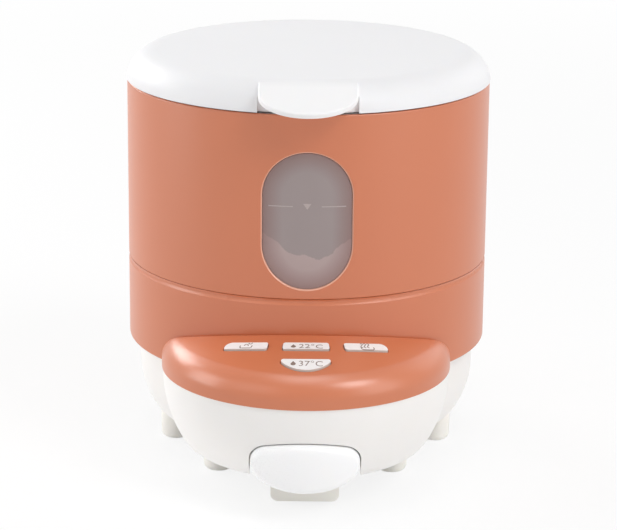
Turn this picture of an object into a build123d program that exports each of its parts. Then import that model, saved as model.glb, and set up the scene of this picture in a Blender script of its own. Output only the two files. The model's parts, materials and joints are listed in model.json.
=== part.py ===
from build123d import *
import os
from math import cos, radians, sin, sqrt

# Baby formula maker. Millimetres, +Z up, the front faces -Y. Every piece is modelled about the drum's
# axis with the floor at z = 0, and the whole is then moved so that the origin is the bottom centre.

# ---- Drum and its heights above the floor ----
DRUM_RADIUS = 85.0
DRUM_WALL = 2.6
FLOOR_TO_BELLY = 16.0
FLOOR_TO_SEAM = 54.3
FLOOR_TO_GROOVE = 94.0
FLOOR_TO_RIM = 178.0
GROOVE_GAP = 0.12
GROOVE_HEIGHT = 2.9
GROOVE_DEPTH = 0.5
GROOVE_ROUND = 0.4
RIM_ROUND = 0.6
RING_FOOT_ROUND = 0.8

# ---- White belly ----
BELLY_STEP = 5.2
BELLY_BAND = 12.8
BELLY_SIDE_ROUND = 38.0
BELLY_WALL = 2.5
BELLY_TURN = 11.0
LIP_FIT = 0.4
LIP_HEIGHT = 4.0

# ---- Pod in front of the drum ----
POD_INSET = 30.0
POD_RADIUS = 66.5
POD_STEP = 0.5
POD_BAND = 2.0
POD_FLAT = 6.0
POD_WALL = 2.2
POD_TOP = 81.2
DOME_DROP = 15.5
POD_SHOULDER = 12.0
POD_REAR_ROUND = 1.5
POD_FIT = 0.3

# ---- Keys on the pod ----
KEY_RING_GAP = 9.2
KEY_RING_WIDTH = 4.7
CENTRE_KEY_HALF_ANGLE = 6.1
SIDE_KEY_START_ANGLE = 10.2
SIDE_KEY_END_ANGLE = 21.9
KEY_CORNER = 1.1
SIDE_KEY_ROUND = 3.0
SIDE_KEY_TIP = 1.1
MOON_RADIUS = 13.2
MOON_DEPTH = 6.8
MOON_GAP = 7.2
KEY_RISE = 0.8
KEY_GAP = 0.4
KEY_LEDGE = 1.0
KEY_SKIN = 1.2
KEY_TRAVEL = 1.0
KEY_STEM_RADIUS = 2.0

# ---- Electronics under the pod cover ----
BOARD_THICKNESS = 1.6
BOARD_TOP = 60.5
BOARD_HALF_WIDTH = 48.0
BOARD_MARGIN = 6.0
PASSAGE_HEIGHT = 8.0
SWITCH_SIZE = 6.0
SWITCH_HEIGHT = 3.5
PLUNGER_RADIUS = 1.75
PLUNGER_HEIGHT = 1.0
SWITCH_CLEARANCE = 0.1
BOARD_POST_RADIUS = 2.5
SIDE_POST_PLACE = (43.0, 28.0)
FRONT_POST_PLACE = (24.0, 48.0)

# ---- Arch in the belly, and the spout head in it ----
ARCH_WIDTH = 50.0
ARCH_TOP = 38.3
ARCH_CORNER = 9.0
ARCH_CROWN = 80.0
ARCH_DEPTH = 28.0
ARCH_GAP = 0.6
NOSE_PROUD = 2.0
NOSE_DEPTH = 19.5
NOSE_BOTTOM = 14.8
NOSE_MIDDLE = 26.5
NOSE_CROWN = 46.0
NOSE_ROUND = 4.0
NOSE_WALL = 2.4
NOZZLE_WIDTH = 31.0
NOZZLE_DEPTH = 20.0
NOZZLE_SETBACK = 5.4
NOZZLE_ABOVE_FLOOR = 3.0
NOZZLE_CORNER = 3.5
NOZZLE_BORE_RADIUS = 3.5
TRAY_HALF_WIDTH = 21.0
TRAY_LOW = 20.5
TRAY_THICKNESS = 3.0
TRAY_STOP = 4.0
RAIL_GAP = 0.3
RAIL_GRIP = 3.0
RAIL_OUTER = 28.5
RAIL_LIP = 1.6
RAIL_SETBACK = 11.0
RAIL_LENGTH = 27.0
BRIDGE_THICKNESS = 3.5
DUCT_RISE = 2.0
DUCT_RADIUS = 5.0
DUCT_FIT = 0.06
NIPPLE_LENGTH = 8.0

# ---- Feet ----
FOOT_RADIUS = 7.2
FOOT_ROUND = 3.0
FOOT_INSET = 16.8
SIDE_FOOT_ANGLE = -4.0
FRONT_FOOT_ANGLE = -50.0
REAR_FOOT_ANGLE = 50.0
FOOT_PIN_RADIUS = 3.0
FOOT_PIN_REACH = 1.8

# ---- Screws that hold the ring to the belly ----
SCREW_INSET = 22.4
SCREW_ANGLES = (30.0, 150.0, 206.0, -26.0)
SCREW_RADIUS = 1.75
SCREW_LENGTH = 16.0
SCREW_HEAD_RADIUS = 3.1
SCREW_HEAD_HEIGHT = 2.0
SCREW_CLEARANCE = 0.35
WELL_TOP = 46.0
WELL_SHELF = 2.5
WELL_WALL = 1.8
PILLAR_RADIUS = 4.5
RIB_THICKNESS = 2.4

# ---- Deck under the tank ----
DECK_TOP = 92.0
DECK_THICKNESS = 2.5
DECK_FIT = 0.3
LEDGE_WIDTH = 4.4
LEDGE_THICKNESS = 1.5
CUP_RADIUS = 9.2
CUP_WALL = 2.6
CUP_DEPTH = 11.0
DECK_RIB_COUNT = 8
DECK_RIB_HEIGHT = 4.0
DECK_RIB_WIDTH = 1.6
DECK_RIB_CLEARANCE = 1.0
POST_RADIUS = 1.5

# ---- Tank, its window boss and its valve ----
TANK_GAP = 0.5
TANK_WALL = 2.4
TANK_FLOOR = 96.0
TANK_TURN = 5.0
TANK_FLANGE_DEPTH = 2.0
TANK_FLANGE_WIDTH = 1.5
FLANGE_FIT = 0.2
STAND_INSET = 10.5
STAND_WALL = 3.0
WINDOW_WIDTH = 40.0
WINDOW_HEIGHT = 62.5
WINDOW_MIDDLE = 129.8
WINDOW_ROUND = 0.8
WINDOW_FIT = 0.15
PANE_RECESS = 0.8
SPIGOT_RADIUS = 7.5
SPIGOT_WALL = 2.0
SPIGOT_LENGTH = 14.0
SEAL_FIT = 0.08
SEAL_HEIGHT = 4.0
SEAL_RISE = 1.5
SPIDER_HEIGHT = 2.0
SPIDER_WIDTH = 1.8
SPIDER_HUB_RADIUS = 3.2
STEM_RADIUS = 1.6
STEM_FIT = 0.06
STEM_REACH = 11.0
COLLAR_RADIUS = 3.6
COLLAR_HEIGHT = 1.5
POPPET_RADIUS = 8.0
POPPET_HEIGHT = 1.8
WASHER_HEIGHT = 1.2
SPRING_RADIUS = 2.7
SPRING_WIRE_RADIUS = 0.35
SPRING_TURNS = 4
POST_GAP = 0.1

# ---- Lid and hinge ----
LID_OVERHANG = 0.6
LID_GAP = 0.6
LID_HEIGHT = 12.9
LID_SHOULDER = 15.0
LID_CROWN = 2.0
LID_WALL = 2.4
TAB_WIDTH = 43.8
TAB_THICKNESS = 2.3
TAB_STRAIGHT = 9.9
TAB_NOSE = 18.0
TAB_SLOPE = 17.5
TAB_ROUND = 0.8
TAB_RECESS = 3.0
TAB_SIDE_GAP = 0.5
LINER_GAP = 3.0
LINER_WALL = 1.8
LINER_DROP = 6.0
GASKET_FIT = 0.25
GASKET_BAND = 1.2
GASKET_HEIGHT = 4.0
GASKET_LIP = 0.9
HINGE_RISE = 2.0
HINGE_OFFSET = 5.0
KNUCKLE_RADIUS = 3.5
KNUCKLE_LENGTH = 9.5
KNUCKLE_GAP = 0.4
GUSSET_DROP = 10.0
ARM_RISE = 6.0
ARM_ROUND = 4.0
PIN_RADIUS = 1.5
PIN_FIT = 0.06

# ---- Pump, heater, hoses and power ----
SPIGOT_TUBE_RADIUS = 3.0
SPIGOT_TUBE_BORE = 1.8
SPIGOT_TUBE_LENGTH = 7.0
HOSE_WALL = 1.6
OUTLET_OFFSET = 5.0
PUMP_FACE = 26.0
PUMP_HEAD_RADIUS = 14.0
PUMP_HEAD_LENGTH = 14.0
MOTOR_RADIUS = 12.0
MOTOR_LENGTH = 28.0
PUMP_HEIGHT = 34.5
PUMP_PORT_OFFSET = 7.5
PUMP_PORT_BOSS = 4.5
CRADLE_LENGTH = 16.0
CRADLE_WIDTH = 18.0
HEATER_X = 34.0
HEATER_RADIUS = 18.0
HEATER_HEIGHT = 44.0
HEATER_CAP = 5.0
HEATER_CAP_STEP = 1.5
HEATER_OUTLET_DROP = 11.0
ELBOW_RADIUS = 12.0
SUPPLY_BEND = 8.0
SUPPLY_RUN = 17.0
POWER_BOARD_SIZE = (56.0, 28.0)
POWER_BOARD_INSET = 37.0
POWER_BOARD_RISE = 6.0
TRANSFORMER_SIZE = (18.0, 16.0, 15.0)
TRANSFORMER_X = -11.0
CAPACITOR_RADIUS = 4.5
CAPACITOR_HEIGHT = 13.0
CAPACITOR_X = 6.0
CAPACITOR_SPREAD = 6.0
FIN_COUNT = 3
FIN_X = 14.0
FIN_PITCH = 4.0
FIN_THICKNESS = 1.5
FIN_WIDTH = 18.0
FIN_HEIGHT = 12.0
INLET_RISE = 3.5
INLET_WIDTH = 17.2
INLET_TALL = 8.8
INLET_DEPTH = 11.0
INLET_WALL = 2.4
INLET_RECESS = 0.5
INLET_PIN_RADIUS = 1.2
INLET_PIN_PITCH = 8.6
INLET_PIN_LENGTH = 9.0

# ---- Places worked out from the sizes above ----
RING_INNER = DRUM_RADIUS - DRUM_WALL
RING_TOP = FLOOR_TO_GROOVE - GROOVE_GAP
GROOVE_MIDDLE = FLOOR_TO_GROOVE - GROOVE_HEIGHT / 2
GROOVE_ARC = (GROOVE_HEIGHT**2 / 4 + GROOVE_DEPTH**2) / (2 * GROOVE_DEPTH)
DRUM_BOWL_RADIUS = DRUM_RADIUS - BELLY_STEP
DRUM_LIP_RADIUS = RING_INNER - LIP_FIT
POD_REACH = DRUM_RADIUS - POD_INSET
POD_BOWL_RADIUS = POD_RADIUS - POD_STEP
POD_SIDE_ROUND = POD_BOWL_RADIUS - POD_FLAT
POD_LIP_RADIUS = POD_RADIUS - POD_WALL - LIP_FIT
POD_KEEP_OUT = DRUM_RADIUS + POD_FIT
DOME_RADIUS = (POD_RADIUS**2 + DOME_DROP**2) / (2 * DOME_DROP)
DOME_CENTRE = POD_TOP - DOME_RADIUS
BELLY_INSIDE = FLOOR_TO_BELLY + BELLY_WALL
KEY_RING_INNER = DRUM_RADIUS + KEY_RING_GAP
KEY_RING_OUTER = KEY_RING_INNER + KEY_RING_WIDTH
KEY_MIDDLE = KEY_RING_INNER + KEY_RING_WIDTH / 2
SIDE_KEY_ANGLE = (SIDE_KEY_START_ANGLE + SIDE_KEY_END_ANGLE) / 2
MOON_BACK = KEY_RING_OUTER + MOON_GAP
MOON_CENTRE = MOON_BACK + MOON_DEPTH - MOON_RADIUS
SWITCH_TOP = BOARD_TOP + SWITCH_HEIGHT + PLUNGER_HEIGHT
STEM_BOTTOM = SWITCH_TOP + KEY_TRAVEL + SWITCH_CLEARANCE
NOSE_REACH = POD_REACH + POD_RADIUS + NOSE_PROUD
NOSE_BACK = NOSE_REACH - NOSE_DEPTH
ARCH_BACK = NOSE_BACK - ARCH_DEPTH
NOZZLE_REACH = NOSE_BACK - NOZZLE_SETBACK
RAIL_FRONT = NOSE_BACK - RAIL_SETBACK
RAIL_BACK = RAIL_FRONT - RAIL_LENGTH
TRAY_BACK = RAIL_BACK + TRAY_STOP
TRAY_TOP = TRAY_LOW + TRAY_THICKNESS
DUCT_HEIGHT = TRAY_TOP + DUCT_RISE + DUCT_RADIUS
NIPPLE_RADIUS = SPIGOT_TUBE_RADIUS
FOOT_CIRCLE = DRUM_BOWL_RADIUS - FOOT_INSET
SCREW_CIRCLE = RING_INNER - SCREW_INSET
DECK_BOTTOM = DECK_TOP - DECK_THICKNESS
LEDGE_BOTTOM = DECK_BOTTOM - LEDGE_THICKNESS
CUP_FLOOR = DECK_TOP - CUP_DEPTH
CUP_BOTTOM = CUP_FLOOR - CUP_WALL
TANK_RADIUS = RING_INNER - TANK_GAP
TANK_INNER = TANK_RADIUS - TANK_WALL
TANK_INSIDE = TANK_FLOOR + TANK_WALL
STAND_RADIUS = TANK_INNER - STAND_INSET
FLANGE_RADIUS = TANK_RADIUS + TANK_FLANGE_WIDTH
FLANGE_BOTTOM = FLOOR_TO_RIM - TANK_FLANGE_DEPTH
SPIGOT_BOTTOM = TANK_FLOOR - SPIGOT_LENGTH
SPIGOT_BORE = SPIGOT_RADIUS - SPIGOT_WALL
SPIDER_TOP = TANK_FLOOR
SPIDER_BOTTOM = SPIDER_TOP - SPIDER_HEIGHT
STEM_LOW = TANK_FLOOR - STEM_REACH
LID_RADIUS = DRUM_RADIUS + LID_OVERHANG
LID_BOTTOM = FLOOR_TO_RIM + LID_GAP
LID_TOP = LID_BOTTOM + LID_HEIGHT
LINER_BOTTOM = FLOOR_TO_RIM - LINER_DROP
LINER_RADIUS = TANK_INNER - LINER_GAP
HINGE_Y = DRUM_RADIUS + HINGE_OFFSET
HINGE_Z = FLOOR_TO_RIM + HINGE_RISE
PUMP_INLET_Z = PUMP_HEIGHT + PUMP_PORT_OFFSET
PUMP_OUTLET_Z = PUMP_HEIGHT - PUMP_PORT_OFFSET
HEATER_TOP = BELLY_INSIDE + HEATER_HEIGHT
HEATER_OUTLET_Z = HEATER_TOP - HEATER_OUTLET_DROP
POWER_BOARD_Y = DRUM_RADIUS - POWER_BOARD_INSET
INLET_HEIGHT = FLOOR_TO_SEAM + LIP_HEIGHT + INLET_RISE + 2 * INLET_WALL + INLET_TALL / 2
HOSE_RADIUS = SPIGOT_TUBE_RADIUS + HOSE_WALL
BRIDGE_BACK = RAIL_BACK - BRIDGE_THICKNESS
SMALL = 0.01


# ---- Shared shapes ----
def rod(radius, low, high, x=0.0, y=0.0):
    """Upright cylinder between two heights."""
    centred = (Align.CENTER, Align.CENTER, Align.MIN)
    return Pos(x, y, low) * Cylinder(radius, high - low, align=centred)


def tube(outer, inner, low, high, x=0.0, y=0.0):
    """Upright tube between two heights."""
    return rod(outer, low, high, x, y) - rod(inner, low, high, x, y)


def bar(radius, start, end):
    """Cylinder from one point to another."""
    first = Vector(*start)
    way = Vector(*end) - first
    return extrude(Plane(origin=first, z_dir=way) * Circle(radius), way.length)


def block(x, y, z):
    """Box from three (low, high) pairs."""
    middle = Pos((x[0] + x[1]) / 2, (y[0] + y[1]) / 2, (z[0] + z[1]) / 2)
    return middle * Box(x[1] - x[0], y[1] - y[0], z[1] - z[0])


def along_x(points, half_width):
    """Prism across the machine from (y, z) points of its side view."""
    return extrude(Plane.YZ * make_face(Polyline(*points, close=True)), half_width, both=True)


def on_circle(radius, angle):
    """Point (x, y) on a circle about the drum's axis, the angle from +X."""
    return radius * cos(radians(angle)), radius * sin(radians(angle))


def hose(points, radii):
    """Silicone hose over spigots at both ends, along runs joined by arcs."""
    path = FilletPolyline(*points, radius=radii) if radii else Line(*points)
    ring = Circle(HOSE_RADIUS) - Circle(SPIGOT_TUBE_RADIUS)
    return sweep(Plane(origin=path @ 0, z_dir=path % 0) * ring, path)


# ---- Belly ----
def flat(x, y):
    """Rectangle in a side view from two (low, high) pairs."""
    return Pos((x[0] + x[1]) / 2, (y[0] + y[1]) / 2) * Rectangle(x[1] - x[0], y[1] - y[0])


def bowl(radius, side_round, band, inset):
    """Bowl of revolution: an upright band under the seam, an arc below it and a flat floor."""
    edge = radius - inset
    arc = side_round - inset
    floor = FLOOR_TO_BELLY + inset
    middle = FLOOR_TO_SEAM - band
    section = flat((0, edge), (middle, FLOOR_TO_SEAM)) + flat((0, edge - arc), (floor, middle))
    section += flat((0, edge), (floor, middle)) & Pos(edge - arc, middle) * Circle(arc)
    corner = section.vertices().group_by(Axis.Y)[0].sort_by(Axis.X)[-1]
    return revolve(Plane.XZ * fillet(corner, BELLY_TURN - inset), Axis.Z)


def belly(inset):
    """Drum bowl and pod bowl together, one inset smaller."""
    drum_bowl = bowl(DRUM_BOWL_RADIUS, BELLY_SIDE_ROUND, BELLY_BAND, inset)
    pod_bowl = bowl(POD_BOWL_RADIUS, POD_SIDE_ROUND, POD_BAND, inset)
    return drum_bowl + Pos(0, -POD_REACH, 0) * pod_bowl


def arch_outline(inset, low):
    """Front view of the arch, one inset smaller: upright sides, round corners and a crowned top."""
    half = ARCH_WIDTH / 2 - inset
    outline = flat((-half, half), (low, ARCH_TOP - inset))
    outline &= Pos(0, ARCH_TOP - ARCH_CROWN) * Circle(ARCH_CROWN - inset)
    return fillet(outline.vertices().sort_by(Axis.Y)[-2:], ARCH_CORNER - inset)


def make_base_shell():
    """White belly with lips, screw wells, board posts, foot holes and the arch."""
    shell = belly(0) - belly(BELLY_WALL)
    lip_top = FLOOR_TO_SEAM + LIP_HEIGHT
    lip_root = FLOOR_TO_SEAM - LIP_HEIGHT
    drum_lip = tube(DRUM_LIP_RADIUS, DRUM_LIP_RADIUS - BELLY_WALL, FLOOR_TO_SEAM, lip_top)
    flange_top = FLOOR_TO_SEAM + BELLY_WALL
    drum_lip += tube(DRUM_LIP_RADIUS, DRUM_BOWL_RADIUS - BELLY_WALL, FLOOR_TO_SEAM, flange_top)
    shell += drum_lip - rod(POD_RADIUS, FLOOR_TO_SEAM, lip_top, y=-POD_REACH)
    pod_lip = tube(POD_LIP_RADIUS, POD_LIP_RADIUS - BELLY_WALL, lip_root, lip_top, y=-POD_REACH)
    shell += pod_lip - rod(POD_KEEP_OUT + POD_WALL + LIP_FIT, lip_root, lip_top)
    for angle in SCREW_ANGLES:
        x, y = on_circle(SCREW_CIRCLE, angle)
        head_bore = SCREW_HEAD_RADIUS + SCREW_CLEARANCE
        shell += rod(head_bore + WELL_WALL, FLOOR_TO_BELLY, WELL_TOP, x, y)
        shell -= rod(head_bore, 0, WELL_TOP - WELL_SHELF, x, y)
        shell -= rod(SCREW_RADIUS + SCREW_CLEARANCE, 0, WELL_TOP, x, y)
    for x, y in power_board_corners():
        shell += rod(BOARD_POST_RADIUS, BELLY_INSIDE - BELLY_WALL / 2, BELLY_INSIDE + POWER_BOARD_RISE, x, y)
    for x, y in foot_places().values():
        shell -= rod(FOOT_PIN_RADIUS, 0, BELLY_INSIDE + FOOT_PIN_REACH, x, y)
    opening = extrude(Plane.XZ * arch_outline(0, 0), POD_REACH + POD_RADIUS)
    return shell - (opening - block((-ARCH_WIDTH, ARCH_WIDTH), (-ARCH_BACK, 0), (0, ARCH_TOP)))


def foot_places():
    """Name and place of each foot."""
    angles = {"side": SIDE_FOOT_ANGLE, "front": FRONT_FOOT_ANGLE, "rear": REAR_FOOT_ANGLE}
    places = {}
    for name, angle in angles.items():
        x, y = on_circle(FOOT_CIRCLE, angle)
        places[f"foot_right_{name}"] = (x, y)
        places[f"foot_left_{name}"] = (-x, y)
    return places


def make_foot(x, y, outside):
    """Round foot, its top saddled to the belly, with a pin pressed through the belly's floor."""
    foot = rod(FOOT_RADIUS, 0, BELLY_INSIDE, x, y)
    foot = fillet(foot.edges().group_by(Axis.Z)[0], FOOT_ROUND) - outside
    return foot + rod(FOOT_PIN_RADIUS, FLOOR_TO_BELLY / 2, BELLY_INSIDE + FOOT_PIN_REACH, x, y)


# ---- Terracotta ring and pod cover ----
def c_eight(grow):
    """Outline of the figure-eight mains socket, grown all round."""
    return SlotOverall(INLET_WIDTH + 2 * grow, INLET_TALL + 2 * grow)


def outer_rims(shape):
    """Circles round the drum's outside, from the lowest to the highest."""
    circles = shape.edges().filter_by(GeomType.CIRCLE)
    return circles.filter_by(lambda edge: edge.radius > DRUM_RADIUS - DRUM_WALL / 2).sort_by(Axis.Z)


def make_housing_ring():
    """Lower ring with a cove round its top, a ledge, pillars on ribs, and its two cut-outs."""
    ring = tube(DRUM_RADIUS, RING_INNER, FLOOR_TO_SEAM, RING_TOP)
    cove = Pos(DRUM_RADIUS + GROOVE_ARC - GROOVE_DEPTH, GROOVE_MIDDLE) * Circle(GROOVE_ARC)
    ring -= revolve(Plane.XZ * cove, Axis.Z)
    ring = fillet(outer_rims(ring)[-2], GROOVE_ROUND)
    ring = fillet(outer_rims(ring)[0], RING_FOOT_ROUND)
    ring += tube(RING_INNER + DRUM_WALL / 2, RING_INNER - LEDGE_WIDTH, LEDGE_BOTTOM, DECK_BOTTOM)
    for angle in SCREW_ANGLES:
        x, y = on_circle(SCREW_CIRCLE, angle)
        reach = RING_INNER + DRUM_WALL / 2
        sides = (-RIB_THICKNESS / 2, RIB_THICKNESS / 2)
        rib = block((SCREW_CIRCLE, reach), sides, (lip_clear(), DECK_BOTTOM))
        ring += Rot(0, 0, angle) * rib
        ring += rod(PILLAR_RADIUS, WELL_TOP, DECK_BOTTOM, x, y)
        ring -= rod(SCREW_RADIUS, WELL_TOP, WELL_TOP + SCREW_LENGTH, x, y)
    ring -= cable_passage()
    ring -= Pos(0, 0, INLET_HEIGHT) * extrude(Plane.XZ * c_eight(INLET_WALL), -2 * DRUM_RADIUS)
    return ring


def cable_passage():
    """Opening for the board's cable, through the ring's front and the pod's rear wall."""
    half = BOARD_HALF_WIDTH / 2
    return block((-half, half), (-KEY_RING_INNER, -POD_REACH), (lip_clear(), lip_clear() + PASSAGE_HEIGHT))


def lip_clear():
    """Height just above the belly's lips."""
    return FLOOR_TO_SEAM + LIP_HEIGHT + LIP_FIT


def pod_pillow(inset):
    """Domed pillow of the pod in front of the drum, one inset smaller all round but at its base."""
    edge = POD_RADIUS - inset
    section = flat((0, edge), (FLOOR_TO_SEAM, POD_TOP)) & Pos(0, DOME_CENTRE) * Circle(DOME_RADIUS - inset)
    shoulder = section.vertices().group_by(Axis.X)[-1].sort_by(Axis.Y)[-1]
    section = fillet(shoulder, POD_SHOULDER - inset)
    pillow = Pos(0, -POD_REACH, 0) * revolve(Plane.XZ * section, Axis.Z)
    return pillow - rod(POD_KEEP_OUT + inset, 0, POD_TOP)


def key_outlines():
    """Plan view of each key, above the pod."""
    wide = Circle(KEY_RING_OUTER) - Circle(KEY_RING_INNER)
    far = 2 * KEY_RING_OUTER

    def sector(start, end):
        low = Vector(far * sin(radians(start)), -far * cos(radians(start)))
        high = Vector(far * sin(radians(end)), -far * cos(radians(end)))
        return wide & make_face(Polyline((0, 0), low, high, close=True))

    centre = sector(-CENTRE_KEY_HALF_ANGLE, CENTRE_KEY_HALF_ANGLE)
    centre = fillet(centre.vertices(), KEY_CORNER)
    right = sector(SIDE_KEY_START_ANGLE, SIDE_KEY_END_ANGLE)
    right = fillet(right.vertices().sort_by(Axis.Y)[-1], SIDE_KEY_ROUND)
    right = fillet(right.vertices().sort_by(Axis.X)[-1], SIDE_KEY_TIP)
    right = fillet(right.vertices().sort_by(Axis.X)[:2], KEY_CORNER)
    moon = Pos(0, -MOON_CENTRE) * Circle(MOON_RADIUS) - Circle(MOON_BACK)
    moon = fillet(moon.vertices(), KEY_CORNER)
    left = mirror(right, Plane.YZ)
    return {"button_cool": centre, "button_warm": moon, "button_steam": right, "button_mix": left}


def key_centres():
    """Where each key's stem and switch stand."""
    x = KEY_MIDDLE * sin(radians(SIDE_KEY_ANGLE))
    y = -KEY_MIDDLE * cos(radians(SIDE_KEY_ANGLE))
    centres = {"button_cool": (0, -KEY_MIDDLE), "button_warm": (0, -(MOON_BACK + MOON_DEPTH / 2))}
    return centres | {"button_steam": (x, y), "button_mix": (-x, y)}


def dome(inset):
    """Ball whose top is the pod's dome, one inset smaller."""
    return Pos(0, -POD_REACH, DOME_CENTRE) * Sphere(DOME_RADIUS - inset)


def make_pod_cover():
    """Hollow pillow with a rounded rear edge, key apertures and board posts."""
    pillow = pod_pillow(0)
    middle_height = (FLOOR_TO_SEAM + POD_TOP) / 2
    rear_edges = pillow.edges().filter_by(lambda e: on_keep_out(e) and e.center().Z > middle_height)
    pillow = fillet(rear_edges, POD_REAR_ROUND)
    cover = pillow - pod_pillow(POD_WALL)
    cover -= cable_passage()
    for outline in key_outlines().values():
        cover -= extrude(offset(outline, KEY_GAP), POD_TOP)
    for x, y in board_posts():
        cover += rod(BOARD_POST_RADIUS, BOARD_TOP, POD_TOP, x, y) & dome(POD_WALL / 2)
    return cover


def board_posts():
    """Places of the posts that the control board hangs from."""
    places = (SIDE_POST_PLACE, FRONT_POST_PLACE)
    return [(side * x, -POD_REACH - y) for x, y in places for side in (-1, 1)]


def on_keep_out(edge):
    """Whether an edge runs along the cylinder that the pod keeps clear of."""
    middle = edge @ 0.5
    return abs(sqrt(middle.X**2 + middle.Y**2) - POD_KEEP_OUT) < POD_FIT / 4


def make_key(outline, centre):
    """Key cap with a crowned top, a ledge under the cover and a stem over its switch."""
    under = POD_WALL + POD_FIT
    prism = extrude(outline, POD_TOP + KEY_RISE)
    flange = extrude(offset(outline, KEY_LEDGE), POD_TOP)
    cap = prism & dome(-KEY_RISE)
    skirt = flange & dome(under)
    hollow = dome(under + KEY_SKIN)
    stem = rod(KEY_STEM_RADIUS, STEM_BOTTOM, POD_TOP, *centre) & dome(under + KEY_SKIN / 2)
    return (cap + skirt) - hollow + stem


# ---- Boards ----
def make_control_board():
    """Crescent board between the pod's wall and the ring."""
    crescent = Pos(0, -POD_REACH) * Circle(POD_LIP_RADIUS - BELLY_WALL - POD_FIT)
    crescent -= Circle(DRUM_RADIUS + BOARD_MARGIN)
    crescent &= Pos(0, -POD_REACH - POD_RADIUS) * Rectangle(2 * BOARD_HALF_WIDTH, 2 * POD_RADIUS)
    return extrude(Pos(0, 0, BOARD_TOP - BOARD_THICKNESS) * crescent, BOARD_THICKNESS)


def make_key_switches():
    """Four tact switches on the board, one under each key."""
    switches = []
    for x, y in key_centres().values():
        half = SWITCH_SIZE / 2
        body = block((x - half, x + half), (y - half, y + half), (BOARD_TOP, BOARD_TOP + SWITCH_HEIGHT))
        switches.append(body + rod(PLUNGER_RADIUS, BOARD_TOP + SWITCH_HEIGHT, SWITCH_TOP, x, y))
    return Compound(switches)


def power_board_corners():
    """Posts under the power board."""
    half_x = POWER_BOARD_SIZE[0] / 2 - BOARD_POST_RADIUS
    half_y = POWER_BOARD_SIZE[1] / 2 - BOARD_POST_RADIUS
    return [(sx * half_x, POWER_BOARD_Y + sy * half_y) for sx in (-1, 1) for sy in (-1, 1)]


def make_power_board():
    """Power board with its transformer, two capacitors and a heat sink."""
    low = BELLY_INSIDE + POWER_BOARD_RISE
    top = low + BOARD_THICKNESS
    width, depth = POWER_BOARD_SIZE
    board = Pos(0, POWER_BOARD_Y, (low + top) / 2) * Box(width, depth, BOARD_THICKNESS)
    board += Pos(TRANSFORMER_X, POWER_BOARD_Y, top + TRANSFORMER_SIZE[2] / 2) * Box(*TRANSFORMER_SIZE)
    for y in (POWER_BOARD_Y - CAPACITOR_SPREAD, POWER_BOARD_Y + CAPACITOR_SPREAD):
        board += rod(CAPACITOR_RADIUS, top, top + CAPACITOR_HEIGHT, CAPACITOR_X, y)
    fin = Pos(0, POWER_BOARD_Y, top + FIN_HEIGHT / 2) * Box(FIN_THICKNESS, FIN_WIDTH, FIN_HEIGHT)
    for index in range(FIN_COUNT):
        board += Pos(FIN_X + index * FIN_PITCH + FIN_THICKNESS / 2, 0, 0) * fin
    return board


# ---- Mains inlet ----
def make_mains_inlet():
    """Figure-eight socket set in the ring's rear wall."""
    upright = Plane.XZ
    mouth = Pos(0, 0, INLET_HEIGHT) * extrude(upright * c_eight(INLET_WALL), -DRUM_RADIUS)
    back = INLET_DEPTH + INLET_WALL
    body = mouth & rod(DRUM_RADIUS - INLET_RECESS, 0, FLOOR_TO_RIM)
    body -= block((-INLET_WIDTH, INLET_WIDTH), (-DRUM_RADIUS, DRUM_RADIUS - back), (0, FLOOR_TO_RIM))
    flange = Pos(0, 0, INLET_HEIGHT) * extrude(upright * c_eight(2 * INLET_WALL), -DRUM_RADIUS)
    flange -= block((-INLET_WIDTH, INLET_WIDTH), (-DRUM_RADIUS, DRUM_RADIUS - back), (0, FLOOR_TO_RIM))
    body += flange & rod(RING_INNER, 0, FLOOR_TO_RIM)
    cavity = Pos(0, DRUM_RADIUS - INLET_DEPTH, INLET_HEIGHT) * extrude(upright * c_eight(0), -DRUM_RADIUS)
    return body - cavity


def make_inlet_pins():
    """Two contact pins of the mains inlet."""
    back = DRUM_RADIUS - INLET_DEPTH
    pins = []
    for x in (-INLET_PIN_PITCH / 2, INLET_PIN_PITCH / 2):
        tip = back + INLET_PIN_LENGTH
        pins.append(bar(INLET_PIN_RADIUS, (x, back, INLET_HEIGHT), (x, tip, INLET_HEIGHT)))
    return Compound(pins)


def make_housing_screws():
    """Four self-tapping screws from the belly's wells into the ring's pillars."""
    shelf = WELL_TOP - WELL_SHELF
    screws = []
    for angle in SCREW_ANGLES:
        x, y = on_circle(SCREW_CIRCLE, angle)
        head = rod(SCREW_HEAD_RADIUS, shelf - SCREW_HEAD_HEIGHT, shelf, x, y)
        screws.append(head + rod(SCREW_RADIUS, shelf, shelf + SCREW_LENGTH, x, y))
    return Compound(screws)


# ---- Deck and water path ----
def make_tank_deck():
    """Deck on the ring's ledge, ribbed below, with the docking cup, its post and its outlet."""
    deck = rod(RING_INNER - DECK_FIT, DECK_BOTTOM, DECK_TOP)
    for index in range(DECK_RIB_COUNT):
        reach = SCREW_CIRCLE - PILLAR_RADIUS - DECK_RIB_CLEARANCE
        sides = (-DECK_RIB_WIDTH / 2, DECK_RIB_WIDTH / 2)
        rib = block((CUP_RADIUS, reach), sides, (DECK_BOTTOM - DECK_RIB_HEIGHT, DECK_BOTTOM))
        deck += Rot(0, 0, 360 * (index + 0.5) / DECK_RIB_COUNT) * rib
    deck += rod(CUP_RADIUS + CUP_WALL, CUP_BOTTOM, DECK_TOP)
    deck -= rod(CUP_RADIUS, CUP_FLOOR, DECK_TOP)
    deck += rod(POST_RADIUS, CUP_FLOOR, STEM_LOW - POST_GAP)
    spigot_low = CUP_BOTTOM - SPIGOT_TUBE_LENGTH
    deck += rod(SPIGOT_TUBE_RADIUS, spigot_low, CUP_BOTTOM, x=-OUTLET_OFFSET)
    return deck - rod(SPIGOT_TUBE_BORE, spigot_low, CUP_FLOOR, x=-OUTLET_OFFSET)


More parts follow.
